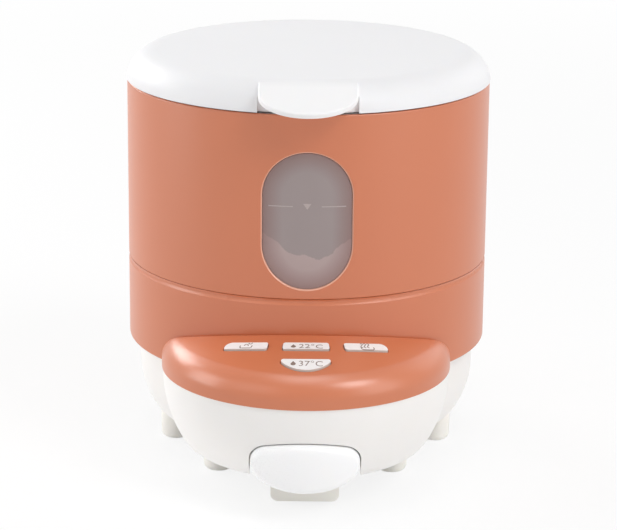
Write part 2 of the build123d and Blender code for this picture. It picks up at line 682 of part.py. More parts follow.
def make_docking_seal():
    """Rubber ring in the cup, a close fit round the tank's spigot."""
    low = SPIGOT_BOTTOM + SEAL_RISE
    return tube(CUP_RADIUS, SPIGOT_RADIUS + SEAL_FIT, low, low + SEAL_HEIGHT)


def make_water_pump():
    """Pump head with two ports towards the middle, its motor behind, on a cradle."""
    head_back = -PUMP_FACE - PUMP_HEAD_LENGTH
    pump = bar(PUMP_HEAD_RADIUS, (-PUMP_FACE, 0, PUMP_HEIGHT), (head_back, 0, PUMP_HEIGHT))
    pump += bar(MOTOR_RADIUS, (head_back, 0, PUMP_HEIGHT), (head_back - MOTOR_LENGTH, 0, PUMP_HEIGHT))
    half = CRADLE_WIDTH / 2
    pump += block((head_back - CRADLE_LENGTH, head_back), (-half, half), (BELLY_INSIDE, PUMP_HEIGHT))
    tip = -PUMP_FACE + SPIGOT_TUBE_LENGTH
    for z in (PUMP_INLET_Z, PUMP_OUTLET_Z):
        pump += bar(SPIGOT_TUBE_RADIUS, (-PUMP_FACE, 0, z), (tip, 0, z))
        pump -= bar(SPIGOT_TUBE_BORE, (-PUMP_FACE - PUMP_PORT_BOSS, 0, z), (tip, 0, z))
    return pump


def make_flow_heater():
    """Upright flow heater with capped ends, an inlet low down and an outlet towards the pod."""
    heater = rod(HEATER_RADIUS, BELLY_INSIDE, HEATER_TOP, x=HEATER_X)
    wide = HEATER_RADIUS + HEATER_CAP_STEP
    heater += rod(wide, BELLY_INSIDE, BELLY_INSIDE + HEATER_CAP / 2, x=HEATER_X)
    heater += rod(wide, HEATER_TOP - HEATER_CAP, HEATER_TOP, x=HEATER_X)
    face = HEATER_X - HEATER_RADIUS
    inlet = (face - SPIGOT_TUBE_LENGTH, 0, PUMP_OUTLET_Z)
    heater += bar(SPIGOT_TUBE_RADIUS, (HEATER_X, 0, PUMP_OUTLET_Z), inlet)
    heater -= bar(SPIGOT_TUBE_BORE, (face, 0, PUMP_OUTLET_Z), inlet)
    front = -HEATER_RADIUS
    outlet = (HEATER_X, front - SPIGOT_TUBE_LENGTH, HEATER_OUTLET_Z)
    heater += bar(SPIGOT_TUBE_RADIUS, (HEATER_X, 0, HEATER_OUTLET_Z), outlet)
    return heater - bar(SPIGOT_TUBE_BORE, (HEATER_X, front, HEATER_OUTLET_Z), outlet)


def make_hose_inlet():
    """Hose from the docking cup down to the pump's inlet."""
    start = (-OUTLET_OFFSET, 0, CUP_BOTTOM)
    turn = (-OUTLET_OFFSET, 0, PUMP_INLET_Z)
    return hose([start, turn, (-PUMP_FACE, 0, PUMP_INLET_Z)], ELBOW_RADIUS)


def make_hose_pump():
    """Straight hose from the pump's outlet to the heater's inlet."""
    return hose([(-PUMP_FACE, 0, PUMP_OUTLET_Z), (HEATER_X - HEATER_RADIUS, 0, PUMP_OUTLET_Z)], None)


def make_hose_outlet():
    """Hose from the heater down and across to the back of the spout guide."""
    start = (HEATER_X, -HEATER_RADIUS, HEATER_OUTLET_Z)
    leave = (HEATER_X, -HEATER_RADIUS - SUPPLY_RUN, HEATER_OUTLET_Z)
    arrive = (0, -BRIDGE_BACK + SUPPLY_RUN, DUCT_HEIGHT)
    return hose([start, leave, arrive, (0, -BRIDGE_BACK, DUCT_HEIGHT)], SUPPLY_BEND)


# ---- Spout ----
def make_spout_guide():
    """Two rails on the belly's floor, a bridge behind them, and the nipple that feeds the duct."""
    inner = TRAY_HALF_WIDTH - RAIL_GRIP
    slot_low = TRAY_LOW - RAIL_GAP
    slot_high = TRAY_TOP + RAIL_GAP
    rail = block((inner, RAIL_OUTER), (-RAIL_FRONT, -RAIL_BACK), (BELLY_INSIDE, slot_high + RAIL_LIP))
    rail -= block((inner, TRAY_HALF_WIDTH + RAIL_GAP), (-RAIL_FRONT, -RAIL_BACK), (slot_low, slot_high))
    bridge_top = DUCT_HEIGHT + DUCT_RADIUS
    guide = rail + mirror(rail, Plane.YZ)
    guide += block((-RAIL_OUTER, RAIL_OUTER), (-RAIL_BACK, -BRIDGE_BACK), (BELLY_INSIDE, bridge_top))
    tail = -BRIDGE_BACK + SPIGOT_TUBE_LENGTH
    tip = -RAIL_BACK - NIPPLE_LENGTH
    guide += bar(NIPPLE_RADIUS, (0, tip, DUCT_HEIGHT), (0, tail, DUCT_HEIGHT))
    return guide - bar(SPIGOT_TUBE_BORE, (0, tip, DUCT_HEIGHT), (0, tail, DUCT_HEIGHT))


def nose_outline(inset):
    """Front view of the nose: the arch's outline above, half an ellipse below."""
    half = ARCH_WIDTH / 2 - ARCH_GAP - inset
    lower = Pos(0, NOSE_MIDDLE) * Ellipse(half, NOSE_MIDDLE - NOSE_BOTTOM - inset)
    return arch_outline(ARCH_GAP + inset, NOSE_MIDDLE) + (lower & flat((-half, half), (0, NOSE_MIDDLE)))


def nose_pillow(inset):
    """Pillow of the nose: its outline crowned by a large ball in front."""
    prism = Pos(0, -NOSE_BACK, 0) * extrude(Plane.XZ * nose_outline(inset), NOSE_REACH - NOSE_BACK)
    crown = Pos(0, NOSE_CROWN - NOSE_REACH, NOSE_MIDDLE) * Sphere(NOSE_CROWN - inset)
    return prism & crown


def make_nose_cap():
    """White pillow in the arch, hollow and open behind."""
    pillow = nose_pillow(0)
    back_face = pillow.faces().sort_by(Axis.Y)[-1]
    front_edges = pillow.edges().filter_by(lambda e: e.center().Y < back_face.center().Y - NOSE_ROUND)
    rim = [e for e in front_edges if not is_level_line(e)]
    return fillet(rim, NOSE_ROUND) - nose_pillow(NOSE_WALL)


def is_level_line(edge):
    """Whether an edge runs straight from front to back."""
    return abs((edge % 0.5).Y) > 0.9


def make_spout_carrier():
    """Tray on the rails, with the plate that closes the nose behind."""
    plate = Pos(0, -NOSE_BACK, 0) * extrude(Plane.XZ * nose_outline(NOSE_WALL), NOSE_WALL)
    tray = block((-TRAY_HALF_WIDTH, TRAY_HALF_WIDTH), (-NOSE_BACK, -TRAY_BACK), (TRAY_LOW, TRAY_TOP))
    duct_hole = rod(DUCT_RADIUS, TRAY_LOW, TRAY_TOP, y=-nozzle_middle())
    return tray + plate - duct_hole


def nozzle_middle():
    """Distance of the nozzle's axis in front of the drum's."""
    return NOZZLE_REACH - NOZZLE_DEPTH / 2


def make_spout_duct():
    """Duct that takes the nipple behind and turns down into the nozzle."""
    y = -nozzle_middle()
    back = (0, -RAIL_BACK - POD_FIT, DUCT_HEIGHT)
    duct = bar(DUCT_RADIUS, back, (0, y, DUCT_HEIGHT)) + Pos(0, y, DUCT_HEIGHT) * Sphere(DUCT_RADIUS)
    duct += rod(DUCT_RADIUS, TRAY_LOW, DUCT_HEIGHT, y=y)
    duct -= bar(NIPPLE_RADIUS + DUCT_FIT, back, (0, y, DUCT_HEIGHT))
    return duct - rod(NIPPLE_RADIUS + DUCT_FIT, TRAY_LOW, DUCT_HEIGHT, y=y)


def make_nozzle_block():
    """Block under the tray with rounded lower corners and the water outlet through it."""
    half = NOZZLE_WIDTH / 2
    body = block((-half, half), (-NOZZLE_REACH, NOZZLE_DEPTH - NOZZLE_REACH), (NOZZLE_ABOVE_FLOOR, TRAY_LOW))
    low_sides = body.edges().filter_by(Axis.Y).group_by(Axis.Z)[0]
    body = fillet(low_sides, NOZZLE_CORNER)
    return body - rod(NOZZLE_BORE_RADIUS, NOZZLE_ABOVE_FLOOR, TRAY_LOW, y=-nozzle_middle())


# ---- Drum: sleeve, tank and valve ----
def window(grow):
    """Upright window outline in front of the drum, cut outwards from its axis."""
    outline = SlotOverall(WINDOW_HEIGHT + 2 * grow, WINDOW_WIDTH + 2 * grow, rotation=90)
    return Pos(0, 0, WINDOW_MIDDLE) * extrude(Plane.XZ * outline, 2 * DRUM_RADIUS)


def knuckle(low, high, bore):
    """Hinge knuckle between two places across the machine."""
    return bar(KNUCKLE_RADIUS, (low, HINGE_Y, HINGE_Z), (high, HINGE_Y, HINGE_Z)) - hinge_rod(bore)


def hinge_rod(radius):
    """Round rod along the hinge's axis, as long as the hinge."""
    reach = hinge_reach()
    return bar(radius, (-reach, HINGE_Y, HINGE_Z), (reach, HINGE_Y, HINGE_Z))


def hinge_reach():
    """Half the hinge's length."""
    return 2 * KNUCKLE_LENGTH + KNUCKLE_GAP


def window_rim(sleeve):
    """Edges of the window on the sleeve's outside."""
    half = WINDOW_WIDTH / 2 + WINDOW_FIT

    def on_rim(edge):
        middle = edge @ 0.5
        reach = sqrt(middle.X**2 + middle.Y**2)
        return abs(reach - DRUM_RADIUS) < WINDOW_FIT and abs(middle.X) < half and middle.Y < 0

    low = WINDOW_MIDDLE - WINDOW_HEIGHT / 2 - WINDOW_FIT
    high = WINDOW_MIDDLE + WINDOW_HEIGHT / 2 + WINDOW_FIT
    return sleeve.edges().filter_by(on_rim).filter_by_position(Axis.Z, low, high)


def make_drum_sleeve():
    """Sleeve with the window, a rebate for the tank's flange and the middle knuckle behind."""
    sleeve = tube(DRUM_RADIUS, RING_INNER, FLOOR_TO_GROOVE, FLOOR_TO_RIM)
    sleeve = fillet(outer_rims(sleeve)[0], GROOVE_ROUND)
    sleeve = fillet(outer_rims(sleeve)[-1], RIM_ROUND)
    sleeve -= rod(FLANGE_RADIUS + FLANGE_FIT, FLANGE_BOTTOM, FLOOR_TO_RIM)
    sleeve -= window(0)
    sleeve = fillet(window_rim(sleeve), WINDOW_ROUND)
    root = RING_INNER + DRUM_WALL / 2
    front = HINGE_Y - KNUCKLE_RADIUS
    back = HINGE_Y + KNUCKLE_RADIUS
    side = [(root, FLOOR_TO_RIM - GUSSET_DROP), (back, HINGE_Z), (front, HINGE_Z)]
    side += [(front, FLOOR_TO_RIM), (root, FLOOR_TO_RIM)]
    sleeve += along_x(side, KNUCKLE_LENGTH) - hinge_rod(KNUCKLE_RADIUS)
    return sleeve + knuckle(-KNUCKLE_LENGTH, KNUCKLE_LENGTH, PIN_RADIUS)


def make_water_tank():
    """Tank hung by its flange, with the window boss, the stand ring and the docking spigot."""
    outside = rod(TANK_RADIUS, TANK_FLOOR, FLOOR_TO_RIM)
    outside = fillet(outside.edges().group_by(Axis.Z)[0], TANK_TURN)
    inside = rod(TANK_INNER, TANK_INSIDE, FLOOR_TO_RIM)
    inside = fillet(inside.edges().group_by(Axis.Z)[0], TANK_TURN - TANK_WALL)
    tank = outside + rod(FLANGE_RADIUS, FLANGE_BOTTOM, FLOOR_TO_RIM)
    boss = window(-WINDOW_FIT) & rod(DRUM_RADIUS - PANE_RECESS, 0, FLOOR_TO_RIM)
    tank += boss - rod(TANK_INNER, 0, FLOOR_TO_RIM)
    tank += tube(STAND_RADIUS, STAND_RADIUS - STAND_WALL, DECK_TOP, TANK_INSIDE)
    tank += rod(SPIGOT_RADIUS, SPIGOT_BOTTOM, TANK_INSIDE)
    tank -= inside + rod(SPIGOT_BORE, SPIGOT_BOTTOM, TANK_INSIDE)
    arm_length = 2 * SPIGOT_BORE + SPIGOT_WALL
    arm = Pos(0, 0, SPIDER_BOTTOM + SPIDER_HEIGHT / 2) * Box(arm_length, SPIDER_WIDTH, SPIDER_HEIGHT)
    tank += arm + Rot(0, 0, 90) * arm
    tank += rod(SPIDER_HUB_RADIUS, SPIDER_BOTTOM, SPIDER_TOP)
    return tank - rod(STEM_RADIUS + STEM_FIT, SPIDER_BOTTOM, SPIDER_TOP)


def make_valve_washer():
    """Rubber washer between the poppet and the tank's floor."""
    return tube(POPPET_RADIUS, STEM_RADIUS, TANK_INSIDE, TANK_INSIDE + WASHER_HEIGHT)


def make_valve_poppet():
    """Poppet with its stem down the spigot and the collar that the spring presses on."""
    seat = TANK_INSIDE + WASHER_HEIGHT
    poppet = rod(POPPET_RADIUS, seat, seat + POPPET_HEIGHT)
    poppet = chamfer(poppet.edges().group_by(Axis.Z)[-1], POPPET_HEIGHT / 2)
    poppet += rod(STEM_RADIUS, STEM_LOW, seat)
    return poppet + rod(COLLAR_RADIUS, STEM_LOW + COLLAR_HEIGHT / 2, STEM_LOW + 1.5 * COLLAR_HEIGHT)


def make_valve_spring():
    """Closing spring between the spider and the stem's collar."""
    low = STEM_LOW + 1.5 * COLLAR_HEIGHT + SPRING_WIRE_RADIUS
    high = SPIDER_BOTTOM - SPRING_WIRE_RADIUS
    coil = Helix((high - low) / SPRING_TURNS, high - low, SPRING_RADIUS, center=(0, 0, low))
    wire = Plane(origin=coil @ 0, z_dir=coil % 0) * RegularPolygon(SPRING_WIRE_RADIUS, 6)
    return sweep(wire, coil, is_frenet=True)


# ---- Lid ----
def lid_form(inset, low):
    """Lid of revolution with a crowned top and a round shoulder, one inset smaller."""
    edge = LID_RADIUS - inset
    crown_radius = (LID_RADIUS - LID_SHOULDER)**2 / (2 * LID_CROWN)
    top = LID_TOP + LID_CROWN
    section = flat((0, edge), (LID_TOP - 2 * LID_SHOULDER, top))
    section &= Pos(0, top - crown_radius) * Circle(crown_radius - inset)
    shoulder = section.vertices().group_by(Axis.X)[-1].sort_by(Axis.Y)[-1]
    section = fillet(shoulder, LID_SHOULDER - inset) & flat((0, edge), (low, top))
    return revolve(Plane.XZ * section, Axis.Z)


def tab_recess(grow):
    """Recess under the thumb tab, in the front of the lid's shoulder."""
    half = TAB_WIDTH / 2 + TAB_SIDE_GAP + grow
    front = block((-half, half), (-2 * LID_RADIUS, 0), (LID_BOTTOM - grow, LID_TOP + LID_CROWN))
    return front - rod(LID_RADIUS - TAB_RECESS - grow, 0, 2 * LID_TOP)


def tab_root():
    """Where the lid's shoulder slopes as the tab does: distance in front of the axis, and height."""
    slope = radians(TAB_SLOPE)
    arc_radius = LID_RADIUS - LID_SHOULDER
    crown_radius = arc_radius**2 / (2 * LID_CROWN)
    arc_height = LID_TOP + LID_CROWN - crown_radius + sqrt((crown_radius - LID_SHOULDER)**2 - arc_radius**2)
    return arc_radius + LID_SHOULDER * sin(slope), arc_height + LID_SHOULDER * cos(slope)


def make_tab():
    """D-shaped thumb tab that slopes down over the rim."""
    slope = radians(TAB_SLOPE)
    root, height = tab_root()
    plane = Plane(origin=(0, -root, height), x_dir=(1, 0, 0), z_dir=(0, -sin(slope), cos(slope)))
    straight = Pos(0, -TAB_STRAIGHT / 2) * Rectangle(TAB_WIDTH, TAB_STRAIGHT)
    nose = Pos(0, -TAB_STRAIGHT) * Ellipse(TAB_WIDTH / 2, TAB_NOSE)
    nose &= Pos(0, -TAB_STRAIGHT - TAB_NOSE / 2) * Rectangle(TAB_WIDTH, TAB_NOSE)
    plate = extrude(plane * (straight + nose), -TAB_THICKNESS)
    top = plate.faces().sort_by(Axis((0, 0, 0), plane.z_dir))[-1]
    nose_start = -root - TAB_STRAIGHT
    rim = top.edges().filter_by(lambda edge: abs((edge % 0.5).Z) > SMALL or (edge @ 0.5).Y < nose_start)
    return fillet(rim, TAB_ROUND)


def make_lid_cover():
    """Lid with the tab over its recess and two knuckles on arms behind."""
    cavity = lid_form(LID_WALL, LID_BOTTOM) - tab_recess(LID_WALL)
    cover = lid_form(0, LID_BOTTOM) - tab_recess(0) - cavity
    root, height = tab_root()
    cover += make_tab() & block((-TAB_WIDTH, TAB_WIDTH), (-2 * LID_RADIUS, -root), (LID_BOTTOM, height))
    near = KNUCKLE_LENGTH + KNUCKLE_GAP
    far = hinge_reach()
    root = LID_RADIUS - LID_WALL - KNUCKLE_GAP
    clear = HINGE_Y - KNUCKLE_RADIUS + PIN_FIT
    back = HINGE_Y + KNUCKLE_RADIUS
    arm_top = LID_BOTTOM + ARM_RISE
    side = [(root, LID_BOTTOM), (root, arm_top), (back, arm_top)]
    side += [(back, HINGE_Z), (clear, HINGE_Z), (clear, LID_BOTTOM)]
    arm = Pos((near + far) / 2, 0, 0) * along_x(side, (far - near) / 2)
    arm = fillet(arm.edges().filter_by(Axis.X).group_by(Axis.Z)[-1].sort_by(Axis.Y)[-1], ARM_ROUND)
    arm = arm - lid_form(LID_WALL, LID_BOTTOM) - hinge_rod(KNUCKLE_RADIUS)
    arm += knuckle(near, far, PIN_RADIUS + PIN_FIT)
    return cover + arm + mirror(arm, Plane.YZ)


def make_lid_liner():
    """Plug under the lid: a pan whose wall reaches up to the lid's underside."""
    pan = rod(LINER_RADIUS, LINER_BOTTOM, LID_TOP)
    pan -= rod(LINER_RADIUS - LINER_WALL, LINER_BOTTOM + LINER_WALL, LID_TOP)
    return pan & lid_form(LID_WALL, LINER_BOTTOM)


def make_lid_gasket():
    """Rubber band round the plug, with two wiping lips near the tank's wall."""
    low = LINER_BOTTOM + (LINER_DROP - GASKET_HEIGHT) / 2
    gasket = tube(LINER_RADIUS + GASKET_BAND, LINER_RADIUS, low, low + GASKET_HEIGHT)
    for lip in (low, low + GASKET_HEIGHT - GASKET_LIP):
        gasket += tube(TANK_INNER - GASKET_FIT, LINER_RADIUS, lip, lip + GASKET_LIP)
    return gasket


def build_pieces():
    """Every piece by node name, about the drum's axis."""
    outside = belly(0)
    pieces = {
        "base_shell": make_base_shell(),
        "housing_ring": make_housing_ring(),
        "pod_cover": make_pod_cover(),
        "tank_deck": make_tank_deck(),
        "docking_seal": make_docking_seal(),
        "water_pump": make_water_pump(),
        "flow_heater": make_flow_heater(),
        "hose_inlet": make_hose_inlet(),
        "hose_pump": make_hose_pump(),
        "hose_outlet": make_hose_outlet(),
        "control_board": make_control_board(),
        "key_switches": make_key_switches(),
        "power_board": make_power_board(),
        "mains_inlet": make_mains_inlet(),
        "inlet_pins": make_inlet_pins(),
        "housing_screws": make_housing_screws(),
        "spout_guide": make_spout_guide(),
        "nose_cap": make_nose_cap(),
        "spout_carrier": make_spout_carrier(),
        "spout_duct": make_spout_duct(),
        "nozzle_block": make_nozzle_block(),
        "drum_sleeve": make_drum_sleeve(),
        "water_tank": make_water_tank(),
        "valve_poppet": make_valve_poppet(),
        "valve_washer": make_valve_washer(),
        "valve_spring": make_valve_spring(),
        "hinge_pin": hinge_rod(PIN_RADIUS),
        "lid_cover": make_lid_cover(),
        "lid_liner": make_lid_liner(),
        "lid_gasket": make_lid_gasket(),
    }
    for name, (x, y) in foot_places().items():
        pieces[name] = make_foot(x, y, outside)
    centres = key_centres()
    for name, outline in key_outlines().items():
        pieces[name] = make_key(outline, centres[name])
    return pieces


def main():
    """Move the machine onto its origin and write one STEP file for each piece."""
    pieces = build_pieces()
    boxes = [piece.bounding_box() for piece in pieces.values()]
    front = min(box.min.Y for box in boxes)
    rear = max(box.max.Y for box in boxes)
    to_origin = Pos(0, -(front + rear) / 2, 0)
    print(f"moved by {-(front + rear) / 2:.4f} along Y; depth {rear - front:.2f}")
    os.makedirs("parts", exist_ok=True)
    for name, piece in pieces.items():
        export_step(to_origin * piece, f"parts/{name}.step")


main()
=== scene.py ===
import json
import logging
import math
from collections.abc import Callable, Iterable
from dataclasses import asdict, dataclass
from enum import Enum
from typing import Any, Protocol

import bmesh
import bpy
from mathutils import Matrix, Vector


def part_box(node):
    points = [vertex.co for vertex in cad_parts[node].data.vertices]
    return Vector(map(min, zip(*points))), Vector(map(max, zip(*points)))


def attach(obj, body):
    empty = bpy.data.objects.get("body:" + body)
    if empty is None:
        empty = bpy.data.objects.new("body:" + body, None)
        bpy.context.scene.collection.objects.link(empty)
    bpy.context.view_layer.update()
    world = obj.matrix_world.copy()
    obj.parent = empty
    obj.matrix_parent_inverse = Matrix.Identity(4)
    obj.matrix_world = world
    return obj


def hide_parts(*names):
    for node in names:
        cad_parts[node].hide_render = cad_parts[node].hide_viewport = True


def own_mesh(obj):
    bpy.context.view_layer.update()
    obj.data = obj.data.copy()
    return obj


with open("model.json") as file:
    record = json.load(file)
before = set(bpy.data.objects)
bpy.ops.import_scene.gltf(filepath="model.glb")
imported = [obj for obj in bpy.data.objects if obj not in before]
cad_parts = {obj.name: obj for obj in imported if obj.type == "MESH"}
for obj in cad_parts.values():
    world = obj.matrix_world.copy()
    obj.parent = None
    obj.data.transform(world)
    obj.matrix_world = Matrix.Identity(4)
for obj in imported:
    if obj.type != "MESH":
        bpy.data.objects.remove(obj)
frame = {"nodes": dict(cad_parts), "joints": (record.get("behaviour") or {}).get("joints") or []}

logging.basicConfig(level=logging.INFO, format="%(name)s: %(message)s")
log = logging.getLogger("formula_maker")

MM = 0.001
NODES: dict[str, bpy.types.Object] = frame["nodes"]
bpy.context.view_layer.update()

Colour = tuple[float, float, float]
Point = tuple[float, float]
Paint = Colour | bpy.types.NodeSocket
SHARP = 0.2 * MM  # how wide a sharp change of finish is


# ---------------------------------------------------------------------------------------------
# Shader values and node trees
# ---------------------------------------------------------------------------------------------
class Value:
    """A number that varies over a surface. Python's operators on it add Math nodes."""

    def __init__(self, graph: "Graph", socket: bpy.types.NodeSocket) -> None:
        """Wrap one output socket of a node tree.

        Args:
            graph: The tree that holds the socket.
            socket: The output that gives the number.
        """
        self.graph = graph
        self.socket = socket

    def __add__(self, other: "Value | float") -> "Value":
        """Sum."""
        return self.graph.math("ADD", self, other)

    __radd__ = __add__

    def __sub__(self, other: "Value | float") -> "Value":
        """Difference."""
        return self.graph.math("SUBTRACT", self, other)

    def __rsub__(self, other: float) -> "Value":
        """Difference from a number."""
        return self.graph.math("SUBTRACT", other, self)

    def __mul__(self, other: "Value | float") -> "Value":
        """Product."""
        return self.graph.math("MULTIPLY", self, other)

    __rmul__ = __mul__

    def __truediv__(self, other: "Value | float") -> "Value":
        """Quotient."""
        return self.graph.math("DIVIDE", self, other)

    def __rtruediv__(self, other: float) -> "Value":
        """Quotient of a number and this value."""
        return self.graph.math("DIVIDE", other, self)

    def __pow__(self, power: float) -> "Value":
        """Power."""
        return self.graph.math("POWER", self, power)

    def __abs__(self) -> "Value":
        """Size without its sign."""
        return self.graph.math("ABSOLUTE", self)

    def above(self, edge: "Value | float", softness: float) -> "Value":
        """Mask that is 1 above an edge.

        Args:
            edge: The value at which the mask is a half.
            softness: How much the value changes while the mask goes from 0 to 1.

        Returns:
            A value from 0 to 1.
        """
        return ((self - edge) / softness + 0.5).clamped()

    def below(self, edge: "Value | float", softness: float) -> "Value":
        """Mask that is 1 below an edge; see above()."""
        return 1 - self.above(edge, softness)

    def clamped(self) -> "Value":
        """The value kept from 0 to 1."""
        return self.graph.math("MINIMUM", self.graph.math("MAXIMUM", self, 0.0), 1.0)

    def fraction(self) -> "Value":
        """The part after the decimal point."""
        return self.graph.math("FRACT", self)


class Graph:
    """The node tree of one material or world."""

    def __init__(self, owner: bpy.types.Material | bpy.types.World) -> None:
        """Empty the tree of a new material or world.

        Args:
            owner: The material or world.
        """
        self.owner = owner
        owner.use_nodes = True
        self.tree = owner.node_tree
        self.tree.nodes.clear()
        self._position: tuple[Value, Value, Value] | None = None

    def add(
        self,
        kind: str,
        settings: dict[str, Any] | None = None,
        inputs: dict[str | int, Any] | None = None,
    ) -> bpy.types.Node:
        """Add a node of any type.

        Args:
            kind: The node's Blender type.
            settings: Its own settings, set first; "stops" are a colour ramp's places and colours.
            inputs: What its sockets get: a number, a colour, a Value or another node's socket.

        Returns:
            The new node.
        """
        node = self.tree.nodes.new(kind)
        for name, setting in (settings or {}).items():
            if name == "stops":
                self._set_stops(node.color_ramp, setting)
            else:
                setattr(node, name, setting)
        for name, given in (inputs or {}).items():
            self._feed(node.inputs[name], given)
        return node

    @staticmethod
    def _set_stops(ramp: bpy.types.ColorRamp, stops: list[tuple[float, Colour]]) -> None:
        """Write a ramp's stops.

        Args:
            ramp: The ramp.
            stops: The place and the colour of each stop, from 0 to 1.
        """
        while len(ramp.elements) < len(stops):
            ramp.elements.new(1.0)
        for element, (place, colour) in zip(ramp.elements, stops):
            element.position = place
            element.color = (*colour, 1.0)

    def _feed(self, socket: bpy.types.NodeSocket, given: Any) -> None:
        """Link or set one input socket.

        Args:
            socket: The socket.
            given: A Value or a socket to link, or a number or colour to set.
        """
        if isinstance(given, Value):
            self.tree.links.new(given.socket, socket)
        elif isinstance(given, bpy.types.NodeSocket):
            self.tree.links.new(given, socket)
        elif isinstance(given, tuple) and len(given) == 3 and socket.type == "RGBA":
            socket.default_value = (*given, 1.0)
        else:
            socket.default_value = given

    def math(self, operation: str, *values: "Value | float") -> Value:
        """Add a Math node.

        Args:
            operation: Its operation.
            *values: Its inputs, in order.

        Returns:
            Its result.
        """
        node = self.add("ShaderNodeMath", {"operation": operation}, dict(enumerate(values)))
        return Value(self, node.outputs[0])

    def position(self) -> tuple[Value, Value, Value]:
        """The place on the object at rest, in metres.

        Returns:
            The place across, from front to back, and in height.
        """
        if self._position is None:
            coordinates = self.add("ShaderNodeTexCoord")
            split = self.add("ShaderNodeSeparateXYZ", inputs={0: coordinates.outputs["Object"]})
            self._position = tuple(Value(self, output) for output in split.outputs)
        return self._position

    def noise(self, size: float, detail: float = 2.0, stretch: Colour = (1.0, 1.0, 1.0)) -> Value:
        """Noise that is fixed to the object.

        Args:
            size: The size of its blobs, in metres.
            detail: How many finer layers it has.
            stretch: How many times longer the blobs are along each axis.

        Returns:
            A value around a half.
        """
        coordinates = self.add("ShaderNodeTexCoord")
        scaled = self.add(
            "ShaderNodeMapping",
            inputs={
                "Vector": coordinates.outputs["Object"],
                "Scale": tuple(1.0 / (size * longer) for longer in stretch),
            },
        )
        node = self.add(
            "ShaderNodeTexNoise",
            inputs={"Vector": scaled.outputs[0], "Scale": 1.0, "Detail": detail, "Roughness": 0.5},
        )
        return Value(self, node.outputs[0])

    def cells(self, size: float) -> Value:
        """Distance to the nearest of some scattered points.

        Args:
            size: How far the points are apart, in metres.

        Returns:
            The distance, as a share of that size.
        """
        coordinates = self.add("ShaderNodeTexCoord")
        node = self.add(
            "ShaderNodeTexVoronoi",
            inputs={"Vector": coordinates.outputs["Object"], "Scale": 1.0 / size},
        )
        return Value(self, node.outputs["Distance"])

    def profile(self, place: Value, points: Iterable[Point]) -> Value:
        """Smooth curve through points.

        Args:
            place: The value along the curve's first axis.
            points: The curve's points, from the lowest place to the highest.

        Returns:
            The curve's height at each place.
        """
        places, heights = zip(*points)
        low, high = min(heights), max(heights)
        spread = places[-1] - places[0]
        greys = [(height - low) / (high - low) for height in heights]
        stops = [((along - places[0]) / spread, (grey, grey, grey)) for along, grey in zip(places, greys)]
        ramp = self.add("ShaderNodeValToRGB", {"stops": stops}, {"Fac": (place - places[0]) / spread})
        ramp.color_ramp.interpolation = "B_SPLINE"
        split = self.add("ShaderNodeSeparateColor", inputs={"Color": ramp.outputs["Color"]})
        return Value(self, split.outputs[0]) * (high - low) + low

    def blend(self, factor: Value, first: Paint, second: Paint) -> bpy.types.NodeSocket:
        """Mix two colours.

        Args:
            factor: 0 for the first colour, 1 for the second.
            first: A colour or a colour socket.
            second: A colour or a colour socket.

        Returns:
            The mixed colour's socket.
        """
        node = self.add("ShaderNodeMix", {"data_type": "RGBA"})
        self._feed(node.inputs[0], factor)
        self._feed(node.inputs[6], first)
        self._feed(node.inputs[7], second)
        return node.outputs[2]

    def relief(self, height: Value, depth: float) -> bpy.types.NodeSocket:
        """Bumps from a height.

        Args:
            height: The height, from 0 to 1.
            depth: The depth of the relief, in metres.

        Returns:
            The bumped normal's socket.
        """
        bump = self.add("ShaderNodeBump", inputs={"Strength": 1.0, "Distance": depth, "Height": height})
        return bump.outputs[0]

    def surface(self, **sockets: Any) -> bpy.types.Material:
        """Finish the material with one Principled shader.

        Args:
            **sockets: Its sockets by name, with an underscore for each space.

        Returns:
            The material.
        """
        inputs = {name.replace("_", " "): given for name, given in sockets.items()}
        shader = self.add("ShaderNodeBsdfPrincipled", inputs=inputs)
        self.add("ShaderNodeOutputMaterial", inputs={"Surface": shader.outputs[0]})
        return self.owner

    def seen(self) -> Value:
        """Find where the eye, a reflection or a look through glass meets this surface.

        Returns:
            A mask that is 1 there.
        """
        path = self.add("ShaderNodeLightPath")
        rays = [Value(self, path.outputs[f"Is {kind} Ray"]) for kind in ("Camera", "Glossy", "Transmission")]
        return sum(rays[1:], rays[0]).clamped()


def drifted(graph: Graph, drift: Value, colour: Colour, darker: float, lighter: float) -> Paint:
    """A colour that drifts between a darker and a lighter one.

    Args:
        graph: The tree that gets the nodes.
        drift: Where it is dark or light.
        colour: The colour.
        darker: What the darker one is multiplied by.
        lighter: What the lighter one is multiplied by.

    Returns:
        The colour's socket.
    """
    return graph.blend(drift, shade(colour, darker), shade(colour, lighter))


def shade(colour: Colour, factor: float) -> Colour:
    """A colour made lighter or darker.

    Args:
        colour: The colour.
        factor: What each channel is multiplied by.

    Returns:
        The new colour.
    """
    return tuple(min(1.0, channel * factor) for channel in colour)


# ---------------------------------------------------------------------------------------------
# Finishes
# ---------------------------------------------------------------------------------------------
class Look(Protocol):
    """What every finish has: a name, and a method that builds its material."""

    name: str

    def material(self) -> bpy.types.Material:
        """Build the material."""


